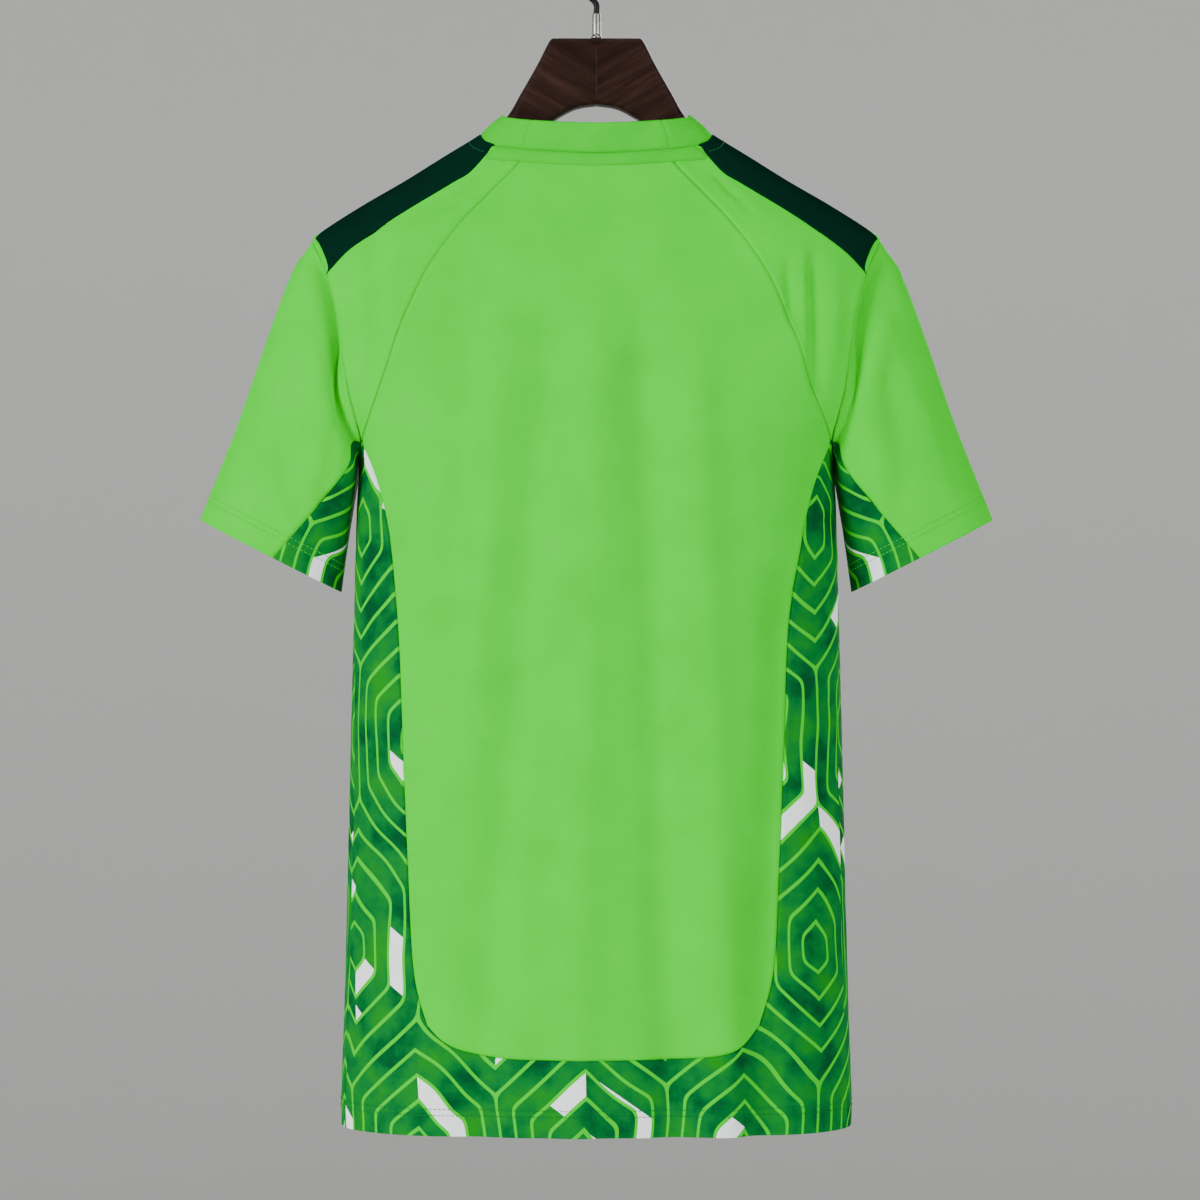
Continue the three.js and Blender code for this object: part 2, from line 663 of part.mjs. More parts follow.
// Line along the top of the shoulder from the neck to the tip
function evenRidge(side) {
  const seam = [];
  for (let i = 0; i <= raglanRows; i += 1) {
    const share = i / raglanRows;
    const angle = THREE.MathUtils.lerp(ridgeAngle, 90, share) * degrees;
    seam.push(bodyStation(side * angle, THREE.MathUtils.lerp(neckZ(ridgeAngle * degrees), tipZ, share)));
  }
  seam[0] = neckStation(side * ridgeAngle * degrees);
  seam[raglanRows] = armholeStation(0, side, false);
  return seam;
}

// Lower edge of the dark band
function bandLine(side) {
  const neck = neckStation(side * bandNeckAngle * degrees);
  const end = armholeStation(bandEnd, side, false);
  const seam = seamThrough([placeOf(neck), ...bandEdge, placeOf(end)], raglanRows, 1, side);
  seam[0] = neck;
  seam[raglanRows] = end;
  return seam;
}

// Sleeve grid for turns given at the armhole. Towards the cuff the underarm seam moves round to the
// outside, and the turns move with it.
function sleeveGrid(turns, side) {
  return sleeveSteps.map((along) =>
    turns.map((turn) => {
      if (along === 0) return armholeStation(turn, side, true);
      const seamTurn = THREE.MathUtils.lerp(junction, underarmAtCuff, along);
      const round = Math.abs(turn);
      const moved =
        round <= junction
          ? (round * seamTurn) / junction
          : 1 + ((round - 1) * (1 - seamTurn)) / (1 - junction);
      return sleeveStation(along, Math.sign(turn) * moved, side);
    }),
  );
}

// Collar, in two pieces that meet at the raglan seams
function collarGrid(angles) {
  const grid = [];
  for (let row = 0; row <= collarRows; row += 1) {
    grid.push(
      angles.map((angle) => (row === 0 ? neckStation(angle) : collarStation(angle, row / collarRows))),
    );
  }
  return grid;
}

const neckAngles = (from, to, steps) => neckPart(from, to, steps).map((station) => station.angle);
const collarBack = backNeck.map((station) => station.angle);
add("collar_back", wall(collarGrid(collarBack), collarCloth), look.collar);
const shoulderNeck = [
  ...neckAngles(backNeckAngle, bandNeckAngle, raglanToBandColumns),
  ...neckAngles(bandNeckAngle, ridgeAngle, bandColumns).slice(1),
  ...neckAngles(ridgeAngle, frontNeckAngle, frontShoulderColumns).slice(1),
];
const frontAngles = frontNeck(panelColumns).map((station) => station.angle);
const collarFront = [
  ...shoulderNeck.map((angle) => -angle),
  ...frontAngles.slice(1, -1),
  ...shoulderNeck.toReversed(),
];
add("collar_front", wall(collarGrid(collarFront), collarCloth), look.collar);

// Puffed tape under the collar, across the back between the dark bands
const tapeAngles = neckAngles(-tapeEndAngle, tapeEndAngle, tapeColumns);
const tapeGrid = [0.9, 0.9 + tapeHeight].map((drop) =>
  tapeAngles.map((angle) => bodyStation(angle, neckZ(angle) - drop)),
);
add("neck_tape", wall(tapeGrid, tapeCloth, lift + tapeCloth, 0), look.collar);

// Hanger

function toSolid(geometry) {
  const bare = geometry.index ? geometry.toNonIndexed() : geometry.clone();
  bare.deleteAttribute("normal");
  bare.deleteAttribute("uv");
  const merged = mergeVertices(bare, 1e-4);
  const vertProperties = new Float32Array(merged.getAttribute("position").array);
  return new wasm.Manifold(
    new wasm.Mesh({ numProp: 3, vertProperties, triVerts: new Uint32Array(merged.index.array) }),
  );
}

function toGeometry(solid) {
  const mesh = solid.getMesh();
  const geometry = new THREE.BufferGeometry();
  geometry.setAttribute("position", new THREE.Float32BufferAttribute(mesh.vertProperties, 3));
  geometry.setIndex(Array.from(mesh.triVerts));
  geometry.computeVertexNormals();
  return geometry;
}

// Closed solid through rings with the same number of points, its ends filled from their middles
function loft(rings) {
  const sides = rings[0].length;
  const middle = (ring) => ring.reduce((sum, p) => sum.add(p), new THREE.Vector3()).divideScalar(sides);
  const points = [...rings.flat(), middle(rings[0]), middle(rings[rings.length - 1])];
  const faces = [];
  for (let i = 0; i < rings.length - 1; i += 1) {
    for (let j = 0; j < sides; j += 1) {
      const [a, b] = [i * sides + j, i * sides + ((j + 1) % sides)];
      faces.push(a, b, b + sides, a, b + sides, a + sides);
    }
  }
  const end = (rings.length - 1) * sides;
  for (let j = 0; j < sides; j += 1) {
    const next = (j + 1) % sides;
    faces.push(rings.length * sides, next, j);
    faces.push(rings.length * sides + 1, end + j, end + next);
  }
  return geometryOf(points, faces);
}

const boreLength = 2 * boreDepth;
const bore = new THREE.CylinderGeometry(boreRadius, boreRadius, boreLength, 16).rotateX(Math.PI / 2);
bore.translate(0, 0, hangerSections[0].top);
for (const [sideName, side] of [
  ["left", -1],
  ["right", 1],
]) {
  const rings = hangerSections.map(({ x, top, bottom, half, square }) =>
    Array.from({ length: hangerSides }, (_, k) => {
      const turn = (-side * 2 * Math.PI * (k + 0.5)) / hangerSides;
      const squared = (value) => Math.sign(value) * Math.abs(value) ** square;
      const y = half * squared(Math.sin(turn));
      const z = (top + bottom) / 2 + ((top - bottom) / 2) * squared(Math.cos(turn));
      return new THREE.Vector3(side * x, y, z);
    }),
  );
  add(`hanger_${sideName}`, toGeometry(toSolid(loft(rings)).subtract(toSolid(bore))), look.wood);
}

// Ferrule round the hook's shank
const ferruleOutline = [
  [boreRadius, ferrule.foot],
  [ferrule.flare, ferrule.foot],
  [ferrule.flare, ferrule.foot + ferrule.flareHeight / 2],
  [ferrule.radius, ferrule.foot + ferrule.flareHeight],
  [ferrule.radius, ferrule.top],
  [boreRadius, ferrule.top],
  [boreRadius, ferrule.foot],
].map(([radius, height]) => new THREE.Vector2(radius, height));
add("ferrule", new THREE.LatheGeometry(ferruleOutline, 20).rotateX(Math.PI / 2), look.silver);

// Hook: a straight shank, a bend to one side and most of a circle over the rail
const hookRadius = hookInside + wireRadius;
const hookPoints = [wireFoot, -80, -66, -54, -47].map((z) => new THREE.Vector3(0, 0, z));
hookPoints.push(new THREE.Vector3(-3.5, 0, -42.4), new THREE.Vector3(-10, 0, -38.6));
for (let step = 0; step <= hookSteps; step += 1) {
  const turn = THREE.MathUtils.lerp(hookStart, hookEnd, step / hookSteps) * degrees;
  const z = -hookInside + hookRadius * Math.sin(turn);
  hookPoints.push(new THREE.Vector3(hookRadius * Math.cos(turn), 0, z));
}
const wireSection = new THREE.Shape().absarc(0, 0, wireRadius, 0, 2 * Math.PI);
add(
  "hook",
  new THREE.ExtrudeGeometry(wireSection, {
    extrudePath: new THREE.CatmullRomCurve3(hookPoints),
    steps: hookFacets,
    curveSegments: wireFacets / 2,
    bevelEnabled: false,
  }),
  look.black,
);

export default jersey;
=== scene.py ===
"""A short-sleeved football jersey, hung open on a wooden hanger.

Sizes are in millimetres in the tables and are turned into metres where a mesh is made. +Z is up, the
jersey's back faces -Y and +X is to the right of that view.
"""

import bpy
import numpy as np
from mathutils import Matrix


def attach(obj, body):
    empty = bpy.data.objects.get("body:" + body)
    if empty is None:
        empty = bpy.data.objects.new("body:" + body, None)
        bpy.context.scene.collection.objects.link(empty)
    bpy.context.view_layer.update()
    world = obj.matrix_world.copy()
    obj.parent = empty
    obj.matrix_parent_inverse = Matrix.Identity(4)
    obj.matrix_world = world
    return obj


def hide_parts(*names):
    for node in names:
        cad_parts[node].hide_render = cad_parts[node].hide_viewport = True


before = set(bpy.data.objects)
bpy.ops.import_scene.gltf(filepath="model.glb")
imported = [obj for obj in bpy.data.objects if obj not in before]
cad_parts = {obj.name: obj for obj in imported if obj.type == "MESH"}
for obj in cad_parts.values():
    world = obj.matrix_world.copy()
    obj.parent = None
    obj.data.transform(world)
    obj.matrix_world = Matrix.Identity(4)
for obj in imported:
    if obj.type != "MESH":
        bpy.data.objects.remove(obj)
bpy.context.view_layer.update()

# Camera
# Level with the middle of the jersey and square to its back, three metres away.
camera_data = bpy.data.cameras.new("camera")
camera_data.sensor_width = 36
camera_data.lens = 122.6
camera = bpy.data.objects.new("camera", camera_data)
camera.location = (0.0026, -3.0, -0.4838)
camera.rotation_euler = (np.pi / 2, 0, 0)
bpy.context.collection.objects.link(camera)
bpy.context.scene.camera = camera


# Hanger
# Two halves of dark stained beech, mitred and glued at the middle, with a flat head and round arms.
# They are shaped, sanded and lacquered satin, and the grain of each half runs down along its arm.
# Columns: x, top, bottom, half thickness, squareness of the section (1 is an oval, less is a box)
hanger_sections = np.array(
    [
        (0, -72, -121, 10.5, 0.35),
        (15, -72, -123.5, 10.5, 0.35),
        (29, -72, -130.7, 10.5, 0.35),
        (33, -72.6, -133.6, 10.5, 0.35),
        (36, -77, -136, 10.5, 0.35),
        (42, -89, -141, 10.5, 0.35),
        (48.5, -100.6, -147, 10.5, 0.4),
        (56, -113.5, -153.5, 10.5, 0.5),
        (63, -125.6, -159.5, 10.5, 0.7),
        (72, -136, -166.5, 10.5, 0.9),
        (86, -146.6, -175, 11, 1),
        (114.2, -163.6, -190, 12, 1),
        (142.8, -181.1, -205, 13, 1),
        (173.6, -198.7, -221, 14, 1),
        (195, -212.3, -233, 13, 1),
        (202, -217.7, -234, 10, 1),
    ]
)
hanger_sides = 64
arm_slope = 31  # degrees below level
wood_dark = (0.0065, 0.0024, 0.0017, 1)
wood_mid = (0.0155, 0.0062, 0.0042, 1)
wood_light = (0.031, 0.0140, 0.0092, 1)
streak_scale = (9, 60, 150)  # noise cells to a metre along, through and up the arm
pore_scale = (45, 500, 1100)
tip_sizes = (0.94, 0.8, 0.5)  # the rings that round off the arm's end, as shares of the last section
tip_reaches = (0.9, 1.8, 2.4)


def read(table, at, column):
    """Smooth value of a column between the rows of a table, by its first column: a cubic whose slope at
    each row is that of the chord between the rows beside it."""
    rows = table if table[0, 0] < table[-1, 0] else table[::-1]
    place, value = rows[:, 0], rows[:, column]
    last = len(place) - 1
    before = np.maximum(np.arange(last + 1) - 1, 0)
    after = np.minimum(np.arange(last + 1) + 1, last)
    slope = (value[after] - value[before]) / (place[after] - place[before])
    row = np.clip(np.searchsorted(place, at) - 1, 0, last - 1)
    width = place[row + 1] - place[row]
    t = (at - place[row]) / width
    rise = t * t * (3 - 2 * t)
    lean = t * (1 - t) ** 2 * width * slope[row] - t * t * (1 - t) * width * slope[row + 1]
    return value[row] * (1 - rise) + value[row + 1] * rise + lean


def put_piece(name, points, faces, material, cut=None):
    """Makes an object from points in millimetres and lists of corners. cut gives each point's place on the
    flat cloth in metres, and becomes the UV map."""
    mesh = bpy.data.meshes.new(name)
    mesh.from_pydata((np.asarray(points) * 0.001).tolist(), [], faces)
    if cut is not None:
        corners = np.empty(len(mesh.loops), dtype=np.int32)
        mesh.loops.foreach_get("vertex_index", corners)
        layer = mesh.uv_layers.new(name="cut")
        layer.data.foreach_set("uv", cut[corners].astype(np.float32).ravel())
    mesh.shade_smooth()
    mesh.materials.append(material)
    piece = bpy.data.objects.new(name, mesh)
    bpy.context.collection.objects.link(piece)
    return piece


def loft(rings):
    """Corner lists of a closed solid through rings of points, in order outwards from its first ring. Each
    ring joins the next with four-cornered faces and the first and last are closed with one face each."""
    count, sides = rings.shape[:2]
    index = np.arange(count * sides).reshape(count, sides)
    beside = np.roll(index, -1, axis=1)
    faces = np.stack([index[:-1], beside[:-1], beside[1:], index[1:]], axis=-1).reshape(-1, 4).tolist()
    return faces + [index[0, ::-1].tolist(), index[-1].tolist()]


def feed(tree, shader, inputs):
    """Gives a shader node its inputs, each a value or another node's output."""
    for socket, value in inputs.items():
        if isinstance(value, bpy.types.NodeSocket):
            tree.links.new(value, shader.inputs[socket])
        else:
            shader.inputs[socket].default_value = value


def node(tree, kind, inputs=None, output=0, **settings):
    """Adds a shader node with its inputs and gives one of its outputs."""
    made = tree.nodes.new("ShaderNode" + kind)
    for setting, value in settings.items():
        setattr(made, setting, value)
    feed(tree, made, inputs or {})
    return made.outputs[output]


def object_place(tree):
    """Place on the object, in metres."""
    return node(tree, "TexCoord", output=3)


def calc(tree, operation, a, b=0.0, c=0.0):
    """Result of one step of arithmetic between node outputs or numbers."""
    return node(tree, "Math", {0: a, 1: b, 2: c}, operation=operation)


def ramp(tree, factor, stops):
    """Colour that blends through stops of place and colour."""
    made = tree.nodes.new("ShaderNodeValToRGB")
    tree.links.new(factor, made.inputs[0])
    elements = made.color_ramp.elements
    for i, (place, colour) in enumerate(stops):
        element = elements[i] if i < 2 else elements.new(place)
        element.position = place
        element.color = colour
    return made.outputs[0]


def start_material(name):
    """New material, its node tree and its surface shader."""
    material = bpy.data.materials.new(name)
    material.use_nodes = True
    return material, material.node_tree, material.node_tree.nodes["Principled BSDF"]


def stained_wood(name, side):
    """Dark stained wood: streaks drawn out along the arm of this half, with fine pores between them."""
    material, tree, surface = start_material(name)
    turned = node(tree, "Mapping", {0: object_place(tree), 2: (0, np.radians(side * arm_slope), 0)})
    streak_place = node(tree, "Mapping", {0: turned, 3: streak_scale})
    streak_noise = {"Vector": streak_place, "Scale": 1.0, "Detail": 6.0, "Distortion": 0.5}
    streaks = node(tree, "TexNoise", streak_noise)
    pore_place = node(tree, "Mapping", {0: turned, 3: pore_scale})
    pores = node(tree, "TexNoise", {"Vector": pore_place, "Scale": 1.0, "Detail": 3.0})
    grain = calc(tree, "MULTIPLY_ADD", pores, 0.35, calc(tree, "MULTIPLY", streaks, 0.75))
    colour = ramp(tree, grain, [(0.36, wood_dark), (0.74, wood_light), (0.55, wood_mid)])
    bump = node(tree, "Bump", {"Strength": 0.35, "Distance": 0.0002, "Height": pores})
    rough = node(tree, "MapRange", {0: pores, 3: 0.38, 4: 0.52})
    finish = {"Base Color": colour, "Normal": bump, "Roughness": rough, "Specular IOR Level": 0.08}
    feed(tree, surface, finish)
    return material


ring_x = np.concatenate(
    [[0.005, 0.5], np.linspace(2, 29, 15), np.linspace(29.6, 72, 64), np.linspace(73.5, 202, 70)]
)
for side_name, side in [("left", -1), ("right", 1)]:
    turn = -side * 2 * np.pi * (np.arange(hanger_sides) + 0.5) / hanger_sides
    top, bottom, half, square = [read(hanger_sections, ring_x, k)[:, None] for k in (1, 2, 3, 4)]
    half_height = (top - bottom) / 2
    ring_y = half * np.sign(np.sin(turn)) * np.abs(np.sin(turn)) ** square
    ring_z = (top + bottom) / 2 + half_height * np.sign(np.cos(turn)) * np.abs(np.cos(turn)) ** square
    rings = np.stack([side * ring_x[:, None] + 0 * ring_y, ring_y, ring_z], axis=-1)
    tip_middle = rings[-1].mean(axis=0)
    tip = tip_middle + (rings[-1] - tip_middle) * np.array(tip_sizes)[:, None, None]
    tip[:, :, 0] += side * np.array(tip_reaches)[:, None]
    rings = np.concatenate([rings, tip])
    wood = stained_wood(f"wood_{side_name}", side)
    half_piece = put_piece(f"hanger_{side_name}_wood", rings.reshape(-1, 3), loft(rings), wood)
    mitre_face = half_piece.data.polygons[-2]  # loft closes the first ring with it
    mitre_face.use_smooth = False
    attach(half_piece, "root")
    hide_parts(f"hanger_{side_name}")


# Ferrule
# Turned sleeve of plated steel with a rolled foot, pressed over the hook's shank on the hanger's top.
# Columns: radius, height, round the whole outline
ferrule_outline = np.array(
    [
        (2.3, -71.6),
        (3.7, -71.6),
        (3.9, -71.4),
        (3.95, -70.9),
        (3.8, -70.3),
        (3.4, -69.7),
        (3.1, -69.1),
        (3.05, -68),
        (3.05, -54),
        (2.95, -53.6),
        (2.7, -53.5),
        (2.3, -53.5),
    ]
)
ferrule_sides = 48
scratch_scale = (300, 300, 4000)  # noise cells to a metre


def spin(outline, sides):
    """Points and corner lists of a ring: a closed outline of radius and height turned round the Z axis."""
    turn = np.linspace(0, 2 * np.pi, sides, endpoint=False)[:, None]
    radius, height = outline[:, 0], outline[:, 1]
    points = np.stack([radius * np.cos(turn), radius * np.sin(turn), height + 0 * turn], axis=-1)
    index = np.arange(points.shape[0] * points.shape[1]).reshape(points.shape[:2])
    beside = np.roll(index, -1, axis=0)
    faces = np.stack([index, beside, np.roll(beside, -1, axis=1), np.roll(index, -1, axis=1)], axis=-1)
    return points.reshape(-1, 3), faces.reshape(-1, 4).tolist()


def metal(name, colour, roughness, metallic, gloss):
    """Metal or black coating with fine scratches round it."""
    material, tree, surface = start_material(name)
    stretched = node(tree, "Mapping", {0: object_place(tree), 3: scratch_scale})
    scratches = node(tree, "TexNoise", {"Vector": stretched, "Scale": 1.0, "Detail": 3.0})
    rough = node(tree, "MapRange", {0: scratches, 3: roughness * 0.8, 4: roughness * 1.3})
    darker = tuple(value * 0.85 for value in colour[:3]) + (1,)
    shade = ramp(tree, scratches, [(0.3, darker), (0.7, colour)])
    finish = {"Base Color": shade, "Roughness": rough, "Metallic": metallic, "Specular IOR Level": gloss}
    feed(tree, surface, finish)
    return material


ferrule_points, ferrule_faces = spin(ferrule_outline, ferrule_sides)
steel = metal("steel", (0.30, 0.30, 0.28, 1), roughness=0.34, metallic=1.0, gloss=0.5)
ferrule = put_piece("ferrule_steel", ferrule_points, ferrule_faces, steel)
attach(ferrule, "root")
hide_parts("ferrule")


# Hook
# Steel wire with a black coating, bent to one side and over the rail. Its shank is driven into the
# hanger's head and glued.
wire_radius = 2.25
hook_inside = 20
hook_start, hook_end = 222, -4  # degrees of the hook's circle from +X
wire_sides = 28
tip_flat = 0.06  # how much the wire's round end falls short of a whole half ball
shank = [(0, -94), (0, -80), (0, -66), (0, -54), (0, -47), (-3.5, -42.4), (-10, -38.6)]


def way_along(line):
    """Distance of each place on a line of points from its first, along the line."""
    return np.concatenate([[0], np.cumsum(np.linalg.norm(np.diff(line, axis=0), axis=1))])


def through(points, count):
    """Even places along a smooth line through points: between two points it is a cubic whose slope at
    each is half the step between the points beside it."""
    points = np.asarray(points, dtype=float)
    last = len(points) - 1
    before = np.maximum(np.arange(last + 1) - 1, 0)
    after = np.minimum(np.arange(last + 1) + 1, last)
    slope = (points[after] - points[before]) / 2
    share = np.linspace(0, last, 60 * last + 1)
    row = np.minimum(share.astype(int), last - 1)
    t = (share - row)[:, None]
    rise = t * t * (3 - 2 * t)
    line = points[row] * (1 - rise) + points[row + 1] * rise
    line += t * (1 - t) ** 2 * slope[row] - t * t * (1 - t) * slope[row + 1]
    length = way_along(line)
    even = np.linspace(0, length[-1], count)
    return np.stack([np.interp(even, length, line[:, k]) for k in range(points.shape[1])], axis=-1)


hook_turn = np.radians(np.linspace(hook_start, hook_end, 16))
circle = np.stack([np.cos(hook_turn), np.sin(hook_turn)], axis=-1) * (hook_inside + wire_radius)
route = through(np.vstack([shank, circle - [0, hook_inside]]), 240)
ahead = np.gradient(route, axis=0)
ahead /= np.linalg.norm(ahead, axis=1, keepdims=True)
run = way_along(route)
from_tip = np.minimum((run[-1] - run + tip_flat) / wire_radius, 1)
thick = wire_radius * np.sqrt(1 - (1 - from_tip) ** 2)
wire_turn = 2 * np.pi * np.arange(wire_sides) / wire_sides
square_to_route = np.stack([ahead[:, 1], -ahead[:, 0]], axis=-1)[:, None]
sideways = (thick[:, None] * np.cos(wire_turn))[..., None] * square_to_route
wire_x, wire_z = route[:, 0, None] + sideways[..., 0], route[:, 1, None] + sideways[..., 1]
wire = np.stack([wire_x, thick[:, None] * np.sin(wire_turn), wire_z], axis=-1)
coating = metal("black_coating", (0.005, 0.005, 0.0046, 1), roughness=0.42, metallic=0.0, gloss=0.15)
hook = put_piece("hook_wire", wire.reshape(-1, 3), loft(wire), coating)
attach(hook, "root")
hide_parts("hook")


# Back
# One piece of light green polyester knit from the neck to the print above the hem, sewn to the shoulders
# along the raglan seams and to the print down both sides. It hangs in long soft folds.
# Level sections of the body. Columns: height, half width, half depth
body_sections = np.array(
    [
        (-128, 64, 23),
        (-143.5, 86, 27),
        (-160.8, 114.2, 31),
        (-178.4, 142.8, 35),
        (-196, 173.6, 39.5),
        (-213.7, 201.8, 44.5),
        (-220, 208.5, 46),
        (-240, 212, 51),
        (-265, 215, 57),
        (-300, 214, 64),
        (-330, 204, 69.5),
        (-350, 191, 72.5),
        (-368, 177.6, 75),
        (-380, 174.5, 76),
        (-420, 176, 79.5),
        (-480, 177.6, 82),
        (-630, 181.3, 84),
        (-777, 184.8, 84),
        (-850, 187.4, 85),
        (-868, 187, 85),
    ]
)
boxiness = 0.3  # how much fuller than an oval a level section is
hem_z = -868
# Folds. Columns: top x, top height, bottom x, bottom height, reach, depth (above zero is out), fade
back_folds = [
    (-88, -262, -106, -560, 16, -5, 90),
    (-30, -240, -98, -960, 18, -6.2, 90),
    (33, -235, 60, -960, 17, -6.2, 90),
    (142, -420, 114, -960, 17, -6.4, 90),
    (-70, -250, -90, -600, 15, 3.4, 90),
    (2, -245, -16, -960, 16, 4, 90),
    (68, -245, 98, -960, 16, 4.4, 90),
    (-162, -200, -159, -330, 6, -4.2, 40),
    (-143, -200, -147, -310, 8, 1.3, 40),
    (-178, -214, -172, -300, 6, 1.2, 30),
    (158, -218, 160, -350, 6, -4.8, 40),
    (139, -226, 143, -296, 5, -3.2, 28),
    (149, -215, 152, -320, 5, 1.2, 35),
    (174, -222, 172, -320, 6, 1.3, 35),
    (-80, -172, -100, -192, 4, -1.4, 7),
    (-93, -184, -112, -205, 4, -1.0, 7),
    (84, -172, 104, -194, 4, -1.6, 7),
    (97, -184, 116, -208, 4, -1.2, 7),
    (-92, -205, -106, -300, 8, -0.9, 35),
    (100, -205, 116, -285, 8, -0.8, 35),
    (-30, -520, -44, -800, 10, -0.9, 80),
    (68, -430, 74, -700, 10, -0.8, 80),
    (-8, -360, -4, -520, 9, -0.6, 60),
]
front_folds = [
    (-92, -300, -70, -960, 22, -5.5, 90),
    (-26, -290, -14, -700, 20, -4.5, 90),
    (38, -285, 46, -960, 21, -5.5, 90),
    (104, -310, 98, -780, 22, -4.5, 90),
    (-58, -300, -40, -960, 19, 3.5, 90),
    (6, -290, 14, -960, 19, 3.5, 90),
    (70, -300, 76, -820, 19, 3, 90),
    (-156, -205, -158, -340, 7, -2.0, 45),
    (160, -200, 158, -330, 7, -2.0, 45),
    (138, -215, 143, -300, 7, -1.2, 35),
    (-136, -220, -142, -310, 7, -1.2, 35),
    (20, -560, 34, -820, 10, -0.9, 80),
]
# Small level wrinkles at the sides. Columns: degrees round, height, slope, reach round, reach up, depth
side_wrinkles = [
    (70, -428, 0.10, 13, 5.5, -1.5),
    (73, -449, -0.08, 12, 5, 1.0),
    (71, -470, 0.12, 14, 6, -1.6),
    (74, -494, 0.05, 12, 6, -1.0),
    (72, -560, 0.2, 12, 8, -0.8),
    (-72, -440, 0.1, 11, 6, -0.9),
    (-73, -505, -0.12, 12, 7, -0.8),
    (104, -436, 0.1, 13, 6, -1.4),
    (106, -468, -0.1, 13, 6, -1.2),
    (-106, -450, 0.12, 13, 6, -1.3),
    (-104, -486, -0.08, 12, 7, -1.0),
    (-76, -640, 0.15, 12, 9, -0.7),
    (75, -700, -0.12, 12, 9, -0.7),
]
degree_width = 2.5  # round the body's sides
# Neck seam. Columns: degrees round, height, the collar's lean and rise
neck_sections = np.array(
    [
        (-30, -155.4, 6, 21),
        (0, -158.6, 1.5, 21.8),
        (30, -155.4, 6, 21),
        (50, -151.8, 13, 20),
        (90, -143.5, 17.5, 15),
        (130, -159, 14, 17),
        (152, -185, 10, 20),
        (168, -216, 7, 22),
        (180, -231, 6, 22),
        (192, -216, 7, 22),
    ]
)
back_neck_angle, front_neck_angle, band_neck_angle, ridge_angle = 30, 152, 48, 88
# Seams, x from the middle and height
back_raglan = [(57, -166), (77, -187), (94, -205), (110, -225), (127, -252), (145, -295), (160.5, -340)]
front_raglan = [(90, -207), (107, -230), (125, -257), (143.5, -297), (159.5, -340)]
side_print = [
    (161, -393),
    (153, -420),
    (147.5, -455),
    (142.5, -515),
    (139.5, -590),
    (136, -670),
    (131.5, -750),
    (121.5, -789),
]
hem_print = [(109, -801), (91, -808.5), (60, -812), (0, -812.6)]
tip_z, armpit_z = -220, -379
armhole_opening = 30  # degrees that the armhole opens to each side of the body's edge
junction = 0.837  # share of the way round to the armpit where raglan, side and sleeve seams meet
cloth = 1.0
seam_margin = 0.12
turn_in, turn_in_reach = 0.9, 0.9  # how deep the cloth turns in at a seam, and over what width
puff, puff_middle, puff_reach = 0.35, 3.4, 2.2  # how it stands out beside the seam
beside_seam = np.array([0, 0.35, 0.75, 1.25, 2, 3.2, 5.2])  # rows of points beside a seam
knit_pitch, break_pitch = 1.3, 1.9
hem_rows, hem_row_half = (15.0, 19.5), 0.7  # heights of the two sewn rows and half their width
# The knit's colour runs down to the low green in its grooves, which is painted shade, and in faint clouds
# of uneven tone.
body_green = (0.008, 0.640, 0.003, 1)
body_green_low = (0.005, 0.470, 0.002, 1)


def smooth(value):
    """Eased step from 0 to 1."""
    t = np.clip(value, 0, 1)
    return t * t * (3 - 2 * t)


def bell(value):
    """Rounded hump, 1 at zero."""
    return np.exp(-value * value)


def fold_push(folds, x, z):
    """How far the folds push the cloth out: each is a rounded hump or trough round a line from its top to
    its bottom, and it dies out over its fade at both ends."""
    push = 0 * x
    for top_x, top_z, bottom_x, bottom_z, reach, depth, fade in folds:
        middle = top_x + (bottom_x - top_x) * (top_z - z) / (top_z - bottom_z)
        upper = depth * bell((x - middle) / reach) * smooth((top_z - z) / fade)
        push += upper * smooth((z - bottom_z) / fade)
    return push


def wrinkle_push(angle, z):
    """How far the small wrinkles at the sides push the cloth out: each is a rounded trough or ridge, longer
    round the body than up it, and a little sloped."""
    turn = np.degrees((angle + np.pi) % (2 * np.pi) - np.pi)
    push = 0 * z * turn
    for middle, height, slope, reach, reach_up, depth in side_wrinkles:
        up = z - height - slope * degree_width * (turn - middle)
        push += depth * bell((turn - middle) / reach) * bell(up / reach_up)
    return push


def body_point(angle, z):
    """Point of the body at an angle round from the middle of the back and at a height: on a filled-out
    oval, moved straight out by the folds and wrinkles."""
    across, back = np.sin(angle), np.cos(angle)
    x = read(body_sections, z, 1) * across
    depth = read(body_sections, z, 2) * back * (1 + boxiness * across**2)
    folds = np.where(back > 0, fold_push(back_folds, x, z), fold_push(front_folds, x, z))
    push = folds * smooth(np.abs(back) * 2) + wrinkle_push(angle, z)
    return np.stack([x + push * across, -depth - push * back, z + 0 * x], axis=-1)


def body_hint(angle):
    """Rough outward direction of the body at an angle."""
    return np.stack([np.sin(angle), -np.cos(angle), 0.2 + 0 * angle], axis=-1)


def neck_z(angle):
    """Height of the neck seam at an angle."""
    turn = np.degrees(np.abs((angle + np.pi) % (2 * np.pi) - np.pi))
    return read(neck_sections, turn, 1)


def armhole_place(turn, side):
    """Angle and height on the armhole: turn 0 at the shoulder's tip, 1 at the armpit, negative in front."""
    opening = np.radians(armhole_opening) * np.sin(np.pi * turn)
    drop = (1 - np.cos(np.pi * turn)) / 2
    return np.stack([side * (np.pi / 2 - opening), tip_z + (armpit_z - tip_z) * drop], axis=-1)


def to_width(places):
    """Angle and height made x and height."""
    angle, z = places[..., 0], places[..., 1]
    return np.stack([read(body_sections, z, 1) * np.sin(angle), z], axis=-1)


